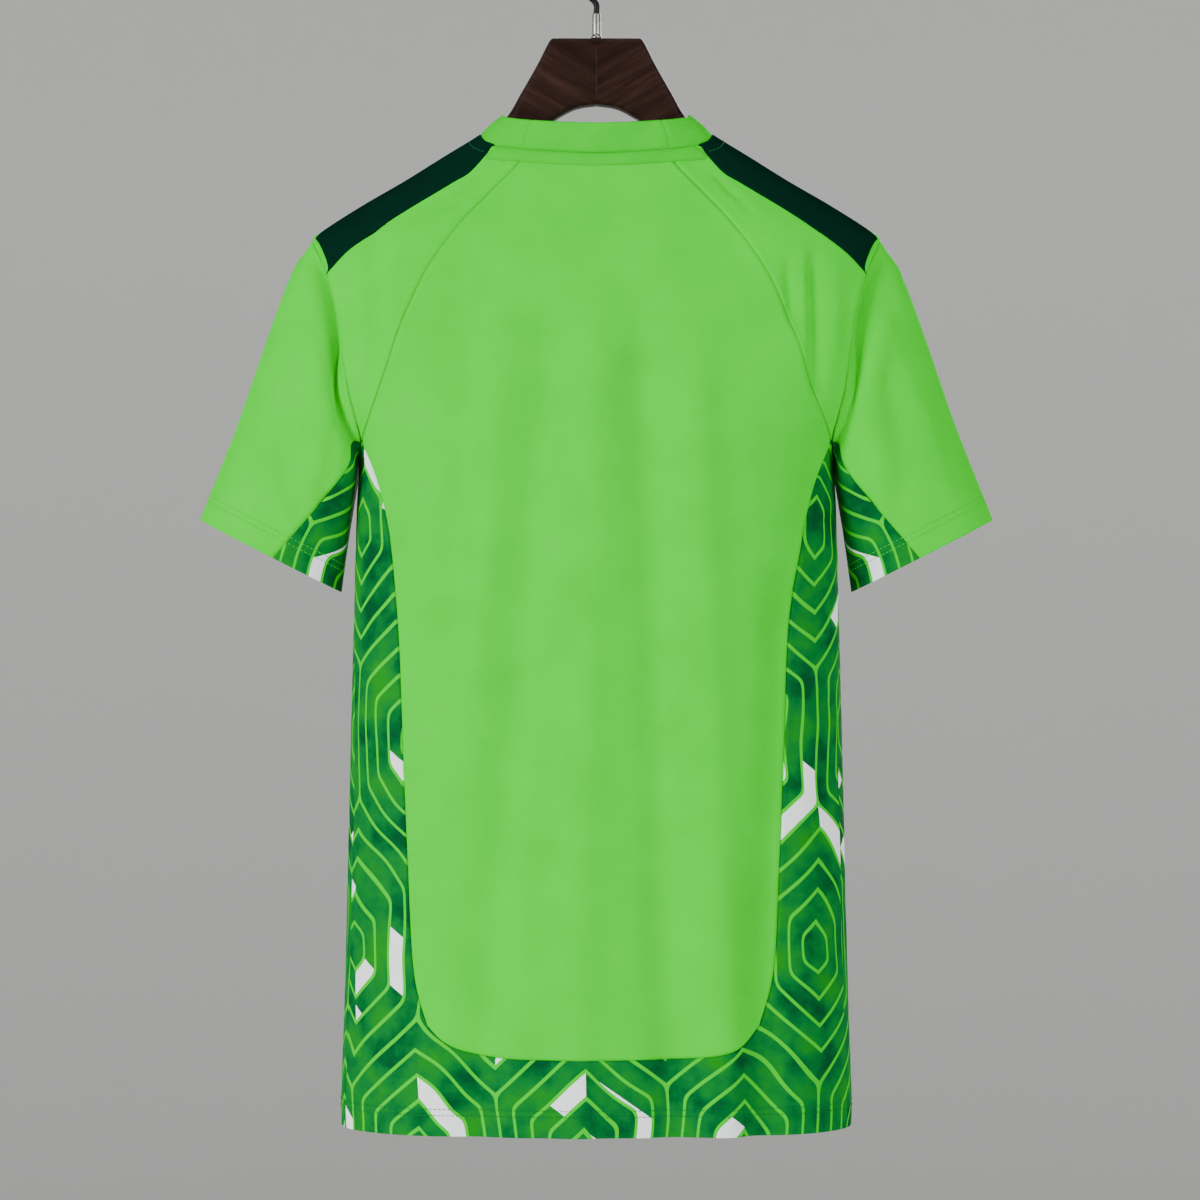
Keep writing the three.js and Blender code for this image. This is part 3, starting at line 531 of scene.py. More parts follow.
def to_angle(places, face, side=1):
    """x and height made angle and height, on the back (face 1) or the front (face -1)."""
    angle = np.arcsin(np.clip(places[..., 0] / read(body_sections, places[..., 1], 1), -1, 1))
    return np.stack([side * (angle if face > 0 else np.pi - angle), places[..., 1]], axis=-1)


def neck_line(start, end, count):
    """Angles and heights along the neck seam between two angles in degrees."""
    angle = np.radians(np.linspace(start, end, count))
    return np.stack([angle, neck_z(angle)], axis=-1)


def raglan_seam(face, count=181):
    """x and height from the neck to where the seam meets the armhole, on the right side."""
    neck_angle, middle = (back_neck_angle, back_raglan) if face > 0 else (front_neck_angle, front_raglan)
    neck = to_width(neck_line(neck_angle, neck_angle, 1))
    end = to_width(armhole_place(np.array([face * junction]), 1))
    return through(np.vstack([neck, middle, end]), count)


def print_side_seam(face, count=201):
    """x and height from the armhole down to the corner of the print above the hem, on the right side."""
    start = to_width(armhole_place(np.array([face * junction]), 1))
    return through(np.vstack([start, side_print]), count)


def print_hem_seam(count=441):
    """x and height across the bottom of the panel from left to right."""
    half = through(np.vstack([side_print[-1:], hem_print]), count // 2 + 1)
    return np.vstack([half * [-1, 1], half[-2::-1]])


def at(line, share):
    """Places on a line of evenly counted places, at shares of the way along."""
    even = np.linspace(0, 1, len(line))
    return np.stack([np.interp(share, even, line[:, k]) for k in range(line.shape[1])], axis=-1)


def patch(top, bottom, left, right, u, v, ease=1):
    """Fills the space between four lines: the blend between left and right, bent the way the top line is
    beside that and the way the bottom line is beside that. A higher ease keeps the bends closer to them."""
    first, last = at(top, u)[None], at(bottom, u)[None]
    start, end = at(left, v)[:, None], at(right, v)[:, None]
    u, v = u[None, :, None], v[:, None, None]
    top_bend = first - (1 - u) * top[0] - u * top[-1]
    bottom_bend = last - (1 - u) * bottom[0] - u * bottom[-1]
    return (1 - u) * start + u * end + (1 - v) ** ease * top_bend + v**ease * bottom_bend


def shares(length, steps, start=True, end=True):
    """Shares of the way along a side of a panel, closer together beside a seam at its start or end."""
    near = beside_seam / length
    even = np.linspace(0, 1, steps + 1)
    low, high = (near if start else near[:1]), (1 - near if end else 1 - near[:1])
    inner = even[(even > low[-1] + 0.3 / steps) & (even < high[-1] - 0.3 / steps)]
    return np.concatenate([low, inner, high[::-1]])


def way_over(points):
    """Distance of each point of a grid from the first of its row, along the row."""
    steps = np.linalg.norm(np.diff(points, axis=1), axis=2)
    return np.hstack([np.zeros((len(points), 1)), np.cumsum(steps, axis=1)])


def seam_relief(points, seams):
    """How far cloth stands out beside its seams, by the distance to the nearest: it turns in at the seam
    and puffs up a little beside it. seams names the sewn sides of the grid."""
    over, down = way_over(points), way_over(points.swapaxes(0, 1)).T
    distances = {"left": over, "right": over[:, -1:] - over, "top": down, "bottom": down[-1:] - down}
    nearest = np.minimum.reduce([distances[name] for name in seams])
    return puff * bell((nearest - puff_middle) / puff_reach) - turn_in * bell(nearest / turn_in_reach)


def cloth_piece(name, points, hint, cut, material, seams, thickness=cloth, out=0.0, lip=0.1, sewn=1.0):
    """Closed wall of cloth over a grid of points. Its outer face is the grid, moved along its normals; its
    inner face lies one thickness under that; a lip joins the two round the border."""
    across, down = np.gradient(points, axis=1), np.gradient(points, axis=0)
    normal = np.cross(across, down)
    normal /= np.linalg.norm(normal, axis=2, keepdims=True)
    facing = np.sign(np.sum(normal * hint))
    relief = out + (sewn * seam_relief(points, seams) if seams else 0 * points[..., 0])
    outer = (points + facing * normal * relief[..., None]).reshape(-1, 3)
    inner = outer - (facing * thickness * normal).reshape(-1, 3)
    index = np.arange(len(outer)).reshape(points.shape[:2])
    border = np.concatenate([index[0, :-1], index[:-1, -1], index[-1, :0:-1], index[:0:-1, 0]])
    inside = np.concatenate([index[1, :-1], index[:-1, -2], index[-2, :0:-1], index[:0:-1, 1]])
    outwards = outer[border] - outer[inside]
    outwards /= np.linalg.norm(outwards, axis=1, keepdims=True)
    outer[border] -= outwards * seam_margin
    inner[border] -= outwards * seam_margin
    lips = (outer[border] + inner[border]) / 2 + outwards * lip
    a, b, c, d = index[:-1, :-1], index[:-1, 1:], index[1:, 1:], index[1:, :-1]
    under = len(outer)
    ring = 2 * under + np.arange(len(border))
    after, ring_after = np.roll(border, -1), np.roll(ring, -1)
    faces = np.concatenate(
        [
            np.stack([a, b, c, d], axis=-1).reshape(-1, 4),
            np.stack([a, d, c, b], axis=-1).reshape(-1, 4) + under,
            np.stack([after, border, ring, ring_after], axis=-1),
            np.stack([ring_after, ring, border + under, after + under], axis=-1),
        ]
    )
    if facing < 0:
        faces = faces[:, ::-1]
    flat = cut.reshape(-1, 2)
    flat = np.vstack([flat, flat, flat[border]])
    return put_piece(name, np.vstack([outer, inner, lips]), faces.tolist(), material, flat)


def body_cut(angle, z, middle):
    """Place on the flat cloth, in metres: the way round the body from the middle of its face at the same
    height, measured in sixteen steps, and the height above the hem."""
    step = np.linspace(0, 1, 17)[:, None, None]
    way = body_point(middle + (angle - middle) * step, z + 0 * step)
    length = np.linalg.norm(np.diff(way, axis=0), axis=-1).sum(axis=0)
    return np.stack([np.sign(np.sin(angle)) * length, z - hem_z], axis=-1) * 0.001


def body_cloth(name, places, middle, material, seams, **more):
    """Piece of cloth on the body over a grid of angles and heights. middle is the angle that its place on
    the flat cloth is measured from."""
    angle, z = places[..., 0], places[..., 1]
    points, hint = body_point(angle, z), body_hint(angle)
    return cloth_piece(name, points, hint, body_cut(angle, z, middle), material, seams, **more)


def cut_place(tree):
    """Place on the flat cloth in metres, whole and as its two directions."""
    place = node(tree, "UVMap", uv_map="cut")
    made = tree.nodes.new("ShaderNodeSeparateXYZ")
    tree.links.new(place, made.inputs[0])
    return place, made.outputs[0], made.outputs[1]


def waves(tree, way, pitch):
    """Sine of a way in metres, for waves a pitch in millimetres long."""
    return calc(tree, "SINE", calc(tree, "MULTIPLY", way, 2 * np.pi / (pitch * 0.001)))


def knit_relief(tree, u, v):
    """Height of the knit from 0 to 1: diagonal ribs, broken by finer ones the other way. Then the same
    height made lower, with the two sewn rows above the turned hem pressed in."""
    ribs = waves(tree, calc(tree, "ADD", u, v), knit_pitch)
    breaks = waves(tree, calc(tree, "SUBTRACT", u, v), break_pitch)
    woven = calc(tree, "MULTIPLY", ribs, calc(tree, "MULTIPLY_ADD", breaks, 0.4, 0.6))
    knit = calc(tree, "MULTIPLY_ADD", woven, 0.5, 0.5)
    low, high = [calc(tree, "COMPARE", v, row * 0.001, hem_row_half * 0.001) for row in hem_rows]
    return knit, calc(tree, "SUBTRACT", calc(tree, "MULTIPLY", knit, 0.25), calc(tree, "ADD", low, high))


def clouded(tree, place, relief, low, high, groove_shade_share, cloud_share, scale):
    """Colour between low and high: lower in the relief's grooves, which is painted shade, and in wide faint
    clouds of uneven tone.
    """
    clouds = node(tree, "TexNoise", {"Vector": place, "Scale": scale, "Detail": 3.0})
    # painted shade: the relief's grooves darken the colour
    painted_groove_shade = calc(tree, "MULTIPLY", relief, groove_shade_share)
    shade = calc(tree, "ADD", painted_groove_shade, calc(tree, "MULTIPLY", clouds, cloud_share))
    return ramp(tree, shade, [(0.2, low), (0.8, high)])


def finish_cloth(tree, surface, colour, relief, roughness=0.7, sheen=0.01, gloss=0.03):
    """Colour, knit bump and the soft sheen of polyester."""
    bump = node(tree, "Bump", {"Strength": 0.6, "Distance": 0.0003, "Height": relief})
    feed(tree, surface, {"Base Color": colour, "Normal": bump, "Roughness": roughness})
    feed(tree, surface, {"Specular IOR Level": gloss, "Sheen Weight": sheen, "Sheen Roughness": 0.45})


def plain_knit(name, low, high, **finish):
    """One-coloured knit: a little darker between its ribs, where painted shade fills the grooves, and in
    wide faint clouds of uneven tone.
    """
    material, tree, surface = start_material(name)
    place, u, v = cut_place(tree)
    knit, relief = knit_relief(tree, u, v)
    colour = clouded(tree, place, knit, low, high, groove_shade_share=0.6, cloud_share=0.62, scale=22.0)
    finish_cloth(tree, surface, colour, relief, **finish)
    return material


body_knit = plain_knit("green_knit", body_green_low, body_green)


def body_panel(face):
    """Angles and heights of a body panel, filled between the neck, the sides and the seam over the hem."""
    side_line = np.vstack([raglan_seam(face), print_side_seam(face)[1:]])
    if face > 0:
        neck = to_width(neck_line(-back_neck_angle, back_neck_angle, 221))
    else:
        neck = to_width(neck_line(-front_neck_angle, front_neck_angle - 360, 221))
    u, v = shares(length=320, steps=92), shares(length=640, steps=128)
    return to_angle(patch(neck, print_hem_seam(), side_line * [-1, 1], side_line, u, v), face)


back = body_cloth("back_cloth", body_panel(1), 0.0, body_knit, ["left", "right", "top", "bottom"])
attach(back, "root")
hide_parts("back_panel")


# Front
# One piece of the same knit as the back, cut lower at the neck, sewn along the front raglan seams and to
# the print down its sides.
front = body_cloth("front_cloth", body_panel(-1), np.pi, body_knit, ["left", "right", "top", "bottom"])
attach(front, "root")
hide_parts("front_panel")


# Print down the sides and along the hem
# On each face one U-shaped piece of knit with a dye print: light lines in nested hexagons over a mottled
# dark green, with white lozenges between some lines. The two meet at the side seams, and the hem is
# turned up and sewn with two rows.
side_seam_turn = 13  # degrees that the side seam drifts to the back
side_seam_drift = 240  # the height over which it drifts
surround_width = 55.4  # across the print, with its rows of points in it
# Sizes of the design, in metres on the flat cloth or in shares of a hexagon
hexagon_width = 0.120
hexagon_stretch = 1.45  # how much taller than a regular one
ring_pitch = 0.012
line_half = 0.0010
line_softness = 0.012  # of a ring's pitch
corner_round = 0.045
slant = 0.866  # half the root of 3
print_drift, drift_scale = (0.02, 0.03), 11.0  # how the design strays sideways and upwards
lozenge_length = 0.042
lozenge_from = 0.89  # a run holds a lozenge when the number drawn for it is higher
run_slope = 0.7  # how much a run's start climbs to the side
print_line = (0.012, 0.520, 0.004, 1)
print_white = (0.80, 0.86, 0.86, 1)
print_dark = (0.0002, 0.062, 0.016, 1)
print_mid = (0.0004, 0.142, 0.023, 1)
print_light = (0.0010, 0.205, 0.009, 1)


def tile(tree, x, y, shift_x, shift_y):
    """Place in its tile of a point, for tiles 1 wide and the root of 3 high whose middles are moved by the
    shift, and the distance from the tile's middle."""
    across = calc(tree, "SUBTRACT", calc(tree, "FLOORED_MODULO", calc(tree, "ADD", x, shift_x), 1.0), 0.5)
    high = 3**0.5
    up = calc(tree, "SUBTRACT", calc(tree, "FLOORED_MODULO", calc(tree, "ADD", y, shift_y), high), high / 2)
    squares = calc(tree, "ADD", calc(tree, "MULTIPLY", across, across), calc(tree, "MULTIPLY", up, up))
    return across, up, squares


def choose(tree, first, a, b):
    """a where first is 1 and b where it is 0."""
    return calc(tree, "ADD", calc(tree, "MULTIPLY", first, calc(tree, "SUBTRACT", a, b)), b)


def printed_knit(name):
    """Printed knit of nested hexagons. Two sets of tiles, half a tile apart, each hold a hexagon, and a
    point belongs to the nearer middle. Its distance in hexagons is the larger of its way across and of half
    that plus the slant times its way up. A line lies at each whole pitch of it, and a lozenge fills a run
    between two lines where a number drawn for that run is high."""
    material, tree, surface = start_material(name)
    place, u, v = cut_place(tree)
    drift = node(tree, "TexNoise", {"Vector": place, "Scale": drift_scale, "Detail": 1.0})
    x = calc(tree, "DIVIDE", calc(tree, "MULTIPLY_ADD", drift, print_drift[0], u), hexagon_width)
    hexagon_height = hexagon_width * hexagon_stretch
    y = calc(tree, "DIVIDE", calc(tree, "MULTIPLY_ADD", drift, print_drift[1], v), hexagon_height)
    across_a, up_a, far_a = tile(tree, x, y, 0.0, 0.0)
    across_b, up_b, far_b = tile(tree, x, y, 0.5, 3**0.5 / 2)
    first = calc(tree, "LESS_THAN", far_a, far_b)
    across, up = choose(tree, first, across_a, across_b), choose(tree, first, up_a, up_b)
    wide = calc(tree, "ABSOLUTE", across)
    half_wide = calc(tree, "MULTIPLY", wide, 0.5)
    slanted = calc(tree, "MULTIPLY_ADD", calc(tree, "ABSOLUTE", up), slant, half_wide)
    distance = calc(tree, "SMOOTH_MAX", wide, slanted, corner_round)
    count = calc(tree, "MULTIPLY", distance, hexagon_width / ring_pitch)
    share = calc(tree, "FRACT", count)
    to_line = calc(tree, "SUBTRACT", 0.5, calc(tree, "ABSOLUTE", calc(tree, "SUBTRACT", share, 0.5)))
    edge = line_half / ring_pitch
    low, high = edge - line_softness, edge + line_softness
    on_line = node(tree, "MapRange", {0: to_line, 1: low, 2: high, 3: 1.0, 4: 0.0})
    ring = calc(tree, "FLOOR", count)
    run_place = calc(tree, "MULTIPLY_ADD", u, run_slope, v)
    run = calc(tree, "FLOOR", calc(tree, "DIVIDE", run_place, lozenge_length))
    side = calc(tree, "SIGN", across)
    run_name = node(tree, "CombineXYZ", {0: ring, 1: run, 2: side})
    drawn = node(tree, "TexWhiteNoise", {0: run_name}, noise_dimensions="3D")
    lozenge = calc(tree, "GREATER_THAN", drawn, lozenge_from)
    mottle = node(tree, "TexNoise", {"Vector": place, "Scale": 26.0, "Detail": 4.0, "Roughness": 0.55})
    ground = ramp(tree, mottle, [(0.36, print_dark), (0.66, print_light), (0.5, print_mid)])
    filled = node(tree, "Mix", {0: lozenge, 6: ground, 7: print_white}, 2, data_type="RGBA")
    lined = node(tree, "Mix", {0: on_line, 6: filled, 7: print_line}, 2, data_type="RGBA")
    finish_cloth(tree, surface, lined, knit_relief(tree, u, v)[1])
    return material


print_knit = printed_knit("printed_knit")


def side_seam(side, count=201):
    """Angles and heights down the side seam, which drifts to the back."""
    z = np.linspace(armpit_z, hem_z, count)
    turn = 90 - side_seam_turn * smooth((armpit_z - z) / side_seam_drift)
    return np.stack([side * np.radians(turn), z], axis=-1)


def surround(face):
    """Angles and heights of the print: between the panel's seam and the side seams and hem, down one side,
    along the bottom and up the other side."""
    inner = [to_angle(print_side_seam(face), face, side) for side in (-1, 1)]
    middle = to_angle(print_hem_seam(), face)
    outer = [side_seam(side) for side in (-1, 1)]
    end = np.radians(90 - face * side_seam_turn)
    hem_turn = np.linspace(-end, end, 441) if face > 0 else np.linspace(np.pi + end, np.pi - end, 441)
    hem = np.stack([hem_turn, 0 * hem_turn + hem_z], axis=-1)
    starts = [armhole_place(np.linspace(face * junction, face, 41), side) for side in (-1, 1)]
    inner_line = np.vstack([inner[0], middle[1:-1], inner[1][::-1]])
    outer_line = np.vstack([outer[0], hem[1:-1], outer[1][::-1]])
    if face < 0:
        for line in (inner_line, outer_line, *starts):
            line[:, 0] = np.where(line[:, 0] < 0, line[:, 0] + 2 * np.pi, line[:, 0])
    middle_rows = np.concatenate([np.linspace(8, 32, 10), np.linspace(34, 47, 12)])
    rows = np.concatenate([beside_seam, middle_rows, surround_width - beside_seam[::-1]])
    v = shares(length=1320, steps=250)
    return patch(starts[0], starts[1], inner_line, outer_line, rows / surround_width, v)


for name, face, flat, area, others in [
    ("back", 1, (0.40, 0.50), 0.0736, ["back_panel", "shoulder_left", "shoulder_right"]),
    ("front", -1, (0.46, 0.50), 0.108, ["front_panel", "shoulder_left", "shoulder_right"]),
]:
    middle = 0.0 if face > 0 else np.pi
    piece = body_cloth(f"{name}_print_cloth", surround(face), middle, print_knit, ["left"])
    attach(piece, "root")
    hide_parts(f"{name}_surround")


# Shoulders
# On each side one piece of light green knit lies over the hanger's arm, from the back raglan seam to the
# front one, and is sewn to the collar and the sleeve.
band_end = 0.27  # turn on the armhole where the dark band's lower edge ends
shoulder_ease = 4
band_edge = [(91, -172), (106, -181.5), (146, -206), (181, -231)]


def band_line(side, count=181):
    """Angles and heights of the lower edge of the dark band, from the neck to the armhole."""
    neck = to_width(neck_line(band_neck_angle, band_neck_angle, 1))
    end = to_width(armhole_place(np.array([band_end]), 1))
    return to_angle(through(np.vstack([neck, band_edge, end]), count), 1, side)


def ridge_line(side, count=181):
    """Angles and heights along the top of the shoulder."""
    share = np.linspace(0, 1, count)
    start = neck_z(np.radians(ridge_angle))
    turn = ridge_angle + (90 - ridge_angle) * share
    return np.stack([side * np.radians(turn), start + (tip_z - start) * share], axis=-1)


def shoulder_part(side, angles, turns, left, right, u, v):
    """Angles and heights between two seams that run out from the neck to the armhole."""
    neck = neck_line(side * angles[0], side * angles[1], 121)
    armhole = armhole_place(np.linspace(*turns, 121), side)
    return patch(neck, armhole, left, right, u, v, ease=shoulder_ease)


def band_part(side, u, v):
    """Angles and heights between the lower edge of the dark band and the top of the shoulder."""
    angles, turns = (band_neck_angle, ridge_angle), (band_end, 0)
    return shoulder_part(side, angles, turns, band_line(side), ridge_line(side), u, v)


def back_part(side, v):
    """Angles and heights between the back raglan seam and the lower edge of the dark band."""
    angles, turns = (back_neck_angle, band_neck_angle), (junction, band_end)
    raglan, u = to_angle(raglan_seam(1), 1, side), shares(length=100, steps=34, end=False)
    return shoulder_part(side, angles, turns, raglan, band_line(side), u, v)


def front_part(side, v):
    """Angles and heights between the top of the shoulder and the front raglan seam."""
    angles, turns = (ridge_angle, front_neck_angle), (0, -junction)
    raglan, u = to_angle(raglan_seam(-1), -1, side), shares(length=150, steps=48, start=False)
    return shoulder_part(side, angles, turns, ridge_line(side), raglan, u, v)


for side_name, side in [("left", -1), ("right", 1)]:
    v = shares(length=210, steps=84)
    top_part = band_part(side, np.linspace(0, 1, 17), v)
    places = np.concatenate([back_part(side, v), top_part[:, 1:], front_part(side, v)[:, 1:]], axis=1)
    seams = ["left", "right", "top", "bottom"]
    piece = body_cloth(f"shoulder_{side_name}_cloth", places, side * np.pi / 2, body_knit, seams)
    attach(piece, "root")
    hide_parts(f"shoulder_{side_name}")


# Bands on the shoulders
# On each shoulder a strip of very dark green knit is sewn flat along the top, from the collar to the
# sleeve, with a row of stitches across it beside the neck seam.
band_cloth = 0.7
band_lift = 0.85
band_margin = (5, 11)  # degrees between its upper edge and the top of the shoulder, at its two ends
# The band's knit is darker in the grooves between its ribs, which is painted shade, and in faint clouds of
# uneven tone.
band_dark = (0.0008, 0.011, 0.0058, 1)
band_green = (0.0014, 0.019, 0.0104, 1)
band_knit = plain_knit("dark_band_knit", band_dark, band_green, roughness=0.8, sheen=0.0, gloss=0.0)
for side_name, side in [("left", -1), ("right", 1)]:
    places = band_part(side, shares(length=36, steps=14), shares(length=170, steps=64))
    margin = np.radians(np.linspace(*band_margin, len(places)))[:, None]
    places[..., 0] -= side * margin * np.linspace(0, 1, places.shape[1])
    name, wall = f"shoulder_band_{side_name}_cloth", {"thickness": band_cloth, "out": band_lift}
    piece = body_cloth(name, places, side * np.pi / 2, band_knit, ["left", "right"], **wall)
    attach(piece, "root")
    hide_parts(f"shoulder_band_{side_name}")


# Sleeves
# Each is one piece of light green knit round the top of the arm, set into the armhole with the cloth
# pulled in just beside the seam, and turned up at the cuff under two rows of stitches.
cuff_outer = (291, -425)
cuff_inner = (187, -478)
cuff_half_depth = 32
sleeve_length = 170
underarm_at_cuff = 0.525  # turn of the underarm seam at the cuff
# Swells and the trough beside the armhole, with shares of the way to the cuff
cap_swell, cap_rise, cap_end, cap_fade = 5, 0.12, 0.75, 0.6
tube_swell = 3
armhole_trough = {-1: 15, 1: 10}  # depth on the left and on the right
trough_middle, trough_reach = 0.035, 0.12
trough_gain, trough_start = 1.4, 0.3  # it fades out towards the shoulder's tip and the armpit
# Columns: start, end, turn at start, turn at end, reach, depth
sleeve_folds = [
    (0.18, 0.8, 0.34, 0.5, 0.09, -3.5),
    (0.3, 1.3, -0.42, -0.52, 0.1, -3.5),
    (0.02, 0.6, 0.2, 0.27, 0.045, -1.0),
    (0.25, 0.95, 0.24, 0.32, 0.05, 0.9),
    (0.12, 0.7, 0.62, 0.66, 0.05, -1.3),
    (0.1, 0.75, -0.24, -0.3, 0.05, -1.1),
    (0.08, 0.6, -0.62, -0.68, 0.05, -1.2),
    (0.5, 1.25, 0.1, 0.14, 0.06, -0.8),
]


def sleeve_point(along, turn, side):
    """Point of the sleeve, from the armhole (along 0) to the cuff (along 1): on the straight line between
    the same turn of the armhole and of the cuff's oval, moved outwards by the swell of the cap and of the
    tube and inwards by the trough at the armhole and by the folds."""
    place = armhole_place(turn, side)
    start = body_point(place[..., 0], place[..., 1])
    outer, back = np.cos(np.pi * turn), np.sin(np.pi * turn)
    half_x, half_z = (cuff_outer[0] - cuff_inner[0]) / 2, (cuff_outer[1] - cuff_inner[1]) / 2
    cuff_x = side * (cuff_inner[0] + half_x * (1 + outer))
    cuff_z = cuff_inner[1] + half_z * (1 + outer)
    cuff = np.stack([cuff_x, -cuff_half_depth * back, cuff_z], axis=-1)
    outward = np.stack([side * half_x * outer, -cuff_half_depth * back, half_z * outer], axis=-1)
    outward /= np.linalg.norm(outward, axis=-1, keepdims=True)
    cap = cap_swell * smooth(along / cap_rise) * smooth((cap_end - along) / cap_fade) * np.maximum(outer, 0)
    tube = tube_swell * np.sin(np.pi * along) * np.abs(back)
    trough = armhole_trough[side] * bell((along - trough_middle) / trough_reach)
    trough = trough * smooth(np.abs(back) * trough_gain - trough_start)
    push = cap + tube - trough * smooth(along / trough_middle)
    for first, last, turn_start, turn_end, reach, depth in sleeve_folds:
        share = (along - first) / (last - first)
        middle = turn_start + (turn_end - turn_start) * share
        push = push + depth * bell((turn - middle) / reach) * smooth(share * 4) * smooth((1 - share) * 4)
    return start + (cuff - start) * along[..., None] + outward * push[..., None]


def sleeve_hint(turn, side):
    """Rough outward direction of the sleeve at a turn."""
    return np.stack([side * np.cos(np.pi * turn), -np.sin(np.pi * turn), 0 * turn], axis=-1)


def sleeve_grid(turns, side):
    """Points, rough outward directions and flat places of a sleeve piece for turns at the armhole. Towards
    the cuff the underarm seam moves round to the outside, and the turns move with it."""
    near_seam, near_cuff = beside_seam / sleeve_length, [0.985, 0.994, 1]
    rows = np.concatenate([near_seam, np.linspace(0.045, 0.97, 62), near_cuff])
    along = rows[:, None] + 0 * turns[None]
    seam_turn = junction + (underarm_at_cuff - junction) * along
    way = np.abs(turns)[None] + 0 * along
    below_seam = 1 + (way - 1) * (1 - seam_turn) / (1 - junction)
    moved = np.where(way <= junction, way * seam_turn / junction, below_seam)
    turn = np.sign(turns)[None] * moved
    points = sleeve_point(along, turn, side)
    over, up = way_over(points), way_over(points[::-1].swapaxes(0, 1)).T[::-1]
    middle = len(turns) // 2
    cut = np.stack([over - over[:, middle : middle + 1], up], axis=-1) * 0.001
    return points, sleeve_hint(turn, side), cut


for side_name, side in [("left", -1), ("right", 1)]:
    turns = junction - 2 * junction * shares(length=330, steps=110)
    points, hint, cut = sleeve_grid(turns, side)
    piece = cloth_piece(f"sleeve_{side_name}_cloth", points, hint, cut, body_knit, ["left", "right", "top"])
    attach(piece, "root")
    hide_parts(f"sleeve_{side_name}")


# Underarm pieces
# A printed wedge closes the underside of each sleeve, narrow at the armpit and wider towards the cuff.
for side_name, side in [("left", -1), ("right", 1)]:
    turns = -junction - 2 * (1 - junction) * shares(length=110, steps=44)
    name, seams = f"underarm_{side_name}_cloth", ["left", "right", "top"]
    piece = cloth_piece(name, *sleeve_grid(turns, side), print_knit, seams)
    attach(piece, "root")
    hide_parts(f"underarm_{side_name}")


# Collar
# Two strips of double rib knit stand up from the neck seam and meet at the raglan seams. Their folded
# top edge is round and full.
collar_aim_y = 6  # the collar leans towards this line behind the hook
collar_swell = 1.6  # how far the collar's middle stands out from the straight line between its edges
collar_height = 22
collar_cloth = 2.0
rib_pitch, loop_pitch = 1.4, 1.0
under_hem = -30  # height of the neck seam on the collar's flat cloth, clear of the hem's sewn rows
# The collar's knit runs down to the low green in its rib grooves, which is painted shade, and in faint
# clouds of uneven tone.
collar_low = (0.004, 0.430, 0.002, 1)
collar_green = (0.006, 0.555, 0.003, 1)


def collar_point(angle, height):
    """Point of the collar from the neck seam (height 0) to its top edge (height 1): the seam's point, moved
    up by the rise and in by the lean, with a swell between the edges."""
    turn = np.degrees(np.abs((angle + np.pi) % (2 * np.pi) - np.pi))
    seam = body_point(angle, neck_z(angle))
    inward = np.stack([-seam[..., 0], collar_aim_y - seam[..., 1], 0 * angle], axis=-1)
    inward /= np.linalg.norm(inward, axis=-1, keepdims=True)
    lean = read(neck_sections, turn, 2) * height - collar_swell * np.sin(np.pi * height)
    seam = seam + inward * lean[..., None]
    seam[..., 2] += read(neck_sections, turn, 3) * height
    return seam


def rib_knit(name, low, high):
    """Rib knit: upright ribs with painted shade darkening their grooves, and the loops of the yarn across
    them.
    """
    material, tree, surface = start_material(name)
    place, u, v = cut_place(tree)
    rib, loop = waves(tree, u, rib_pitch), waves(tree, v, loop_pitch)
    height = calc(tree, "MULTIPLY_ADD", calc(tree, "MULTIPLY_ADD", loop, 0.3, rib), 0.38, 0.5)
    colour = clouded(tree, place, height, low, high, groove_shade_share=0.35, cloud_share=0.7, scale=30.0)
    finish_cloth(tree, surface, colour, calc(tree, "MULTIPLY", height, 0.3))
    return material


collar_knit = rib_knit("collar_rib", collar_low, collar_green)


def collar_piece(name, start, end, columns, length):
    """One strip of the collar between two angles in degrees."""
    height = shares(length=collar_height, steps=12, end=False)[:-1]
    height = np.concatenate([height, [0.985, 1]])[:, None]
    angle = np.radians(start + (end - start) * shares(length, columns))[None] + 0 * height
    points = collar_point(angle, height + 0 * angle)
    up = under_hem + collar_height * height + 0 * angle
    cut = np.stack([way_over(points), up], axis=-1) * 0.001
    seams, wall = ["left", "right", "top"], {"thickness": collar_cloth, "lip": 0.9, "sewn": 0.45}
    return cloth_piece(name, points, body_hint(angle), cut, collar_knit, seams, **wall)


for name, start, end, columns, flat, area in [
    ("back", -back_neck_angle, back_neck_angle, 60, (0.105, 0.0225), 0.00215),
    ("front", -back_neck_angle, back_neck_angle - 360, 220, (0.35, 0.024), 0.0075),
]:
    piece = collar_piece(f"collar_{name}_cloth", start, end, columns, flat[0] * 1000)
    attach(piece, "root")
    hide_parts(f"collar_{name}")


# Neck tape
# A narrow puffed strip of the collar's knit is sewn along the neck seam across the back, between the
# dark bands, over the seam's turnings.
tape_end_angle = 42.5
tape_height = 9
tape_gap, tape_overlap = 0.4, 0.3  # below the neck seam, and under the tape's lower edge
tape_lift = 0.4
tape_crown, crown_fullness = 2.7, 0.45
share = np.linspace(0, 1, 17)[:, None]
angle = np.radians(np.linspace(-tape_end_angle, tape_end_angle, 150))[None] + 0 * share
points = body_point(angle, neck_z(angle) - tape_gap - (tape_height + tape_overlap) * share)
cut = np.stack([way_over(points), under_hem - tape_height * share + 0 * angle], axis=-1) * 0.001
crown = tape_lift + tape_crown * np.sin(np.pi * share) ** crown_fullness + 0 * angle
wall = {"thickness": 0.8, "out": crown, "lip": 0.25}
tape = cloth_piece("neck_tape_cloth", points, body_hint(angle), cut, collar_knit, [], **wall)
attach(tape, "root")
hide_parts("neck_tape")


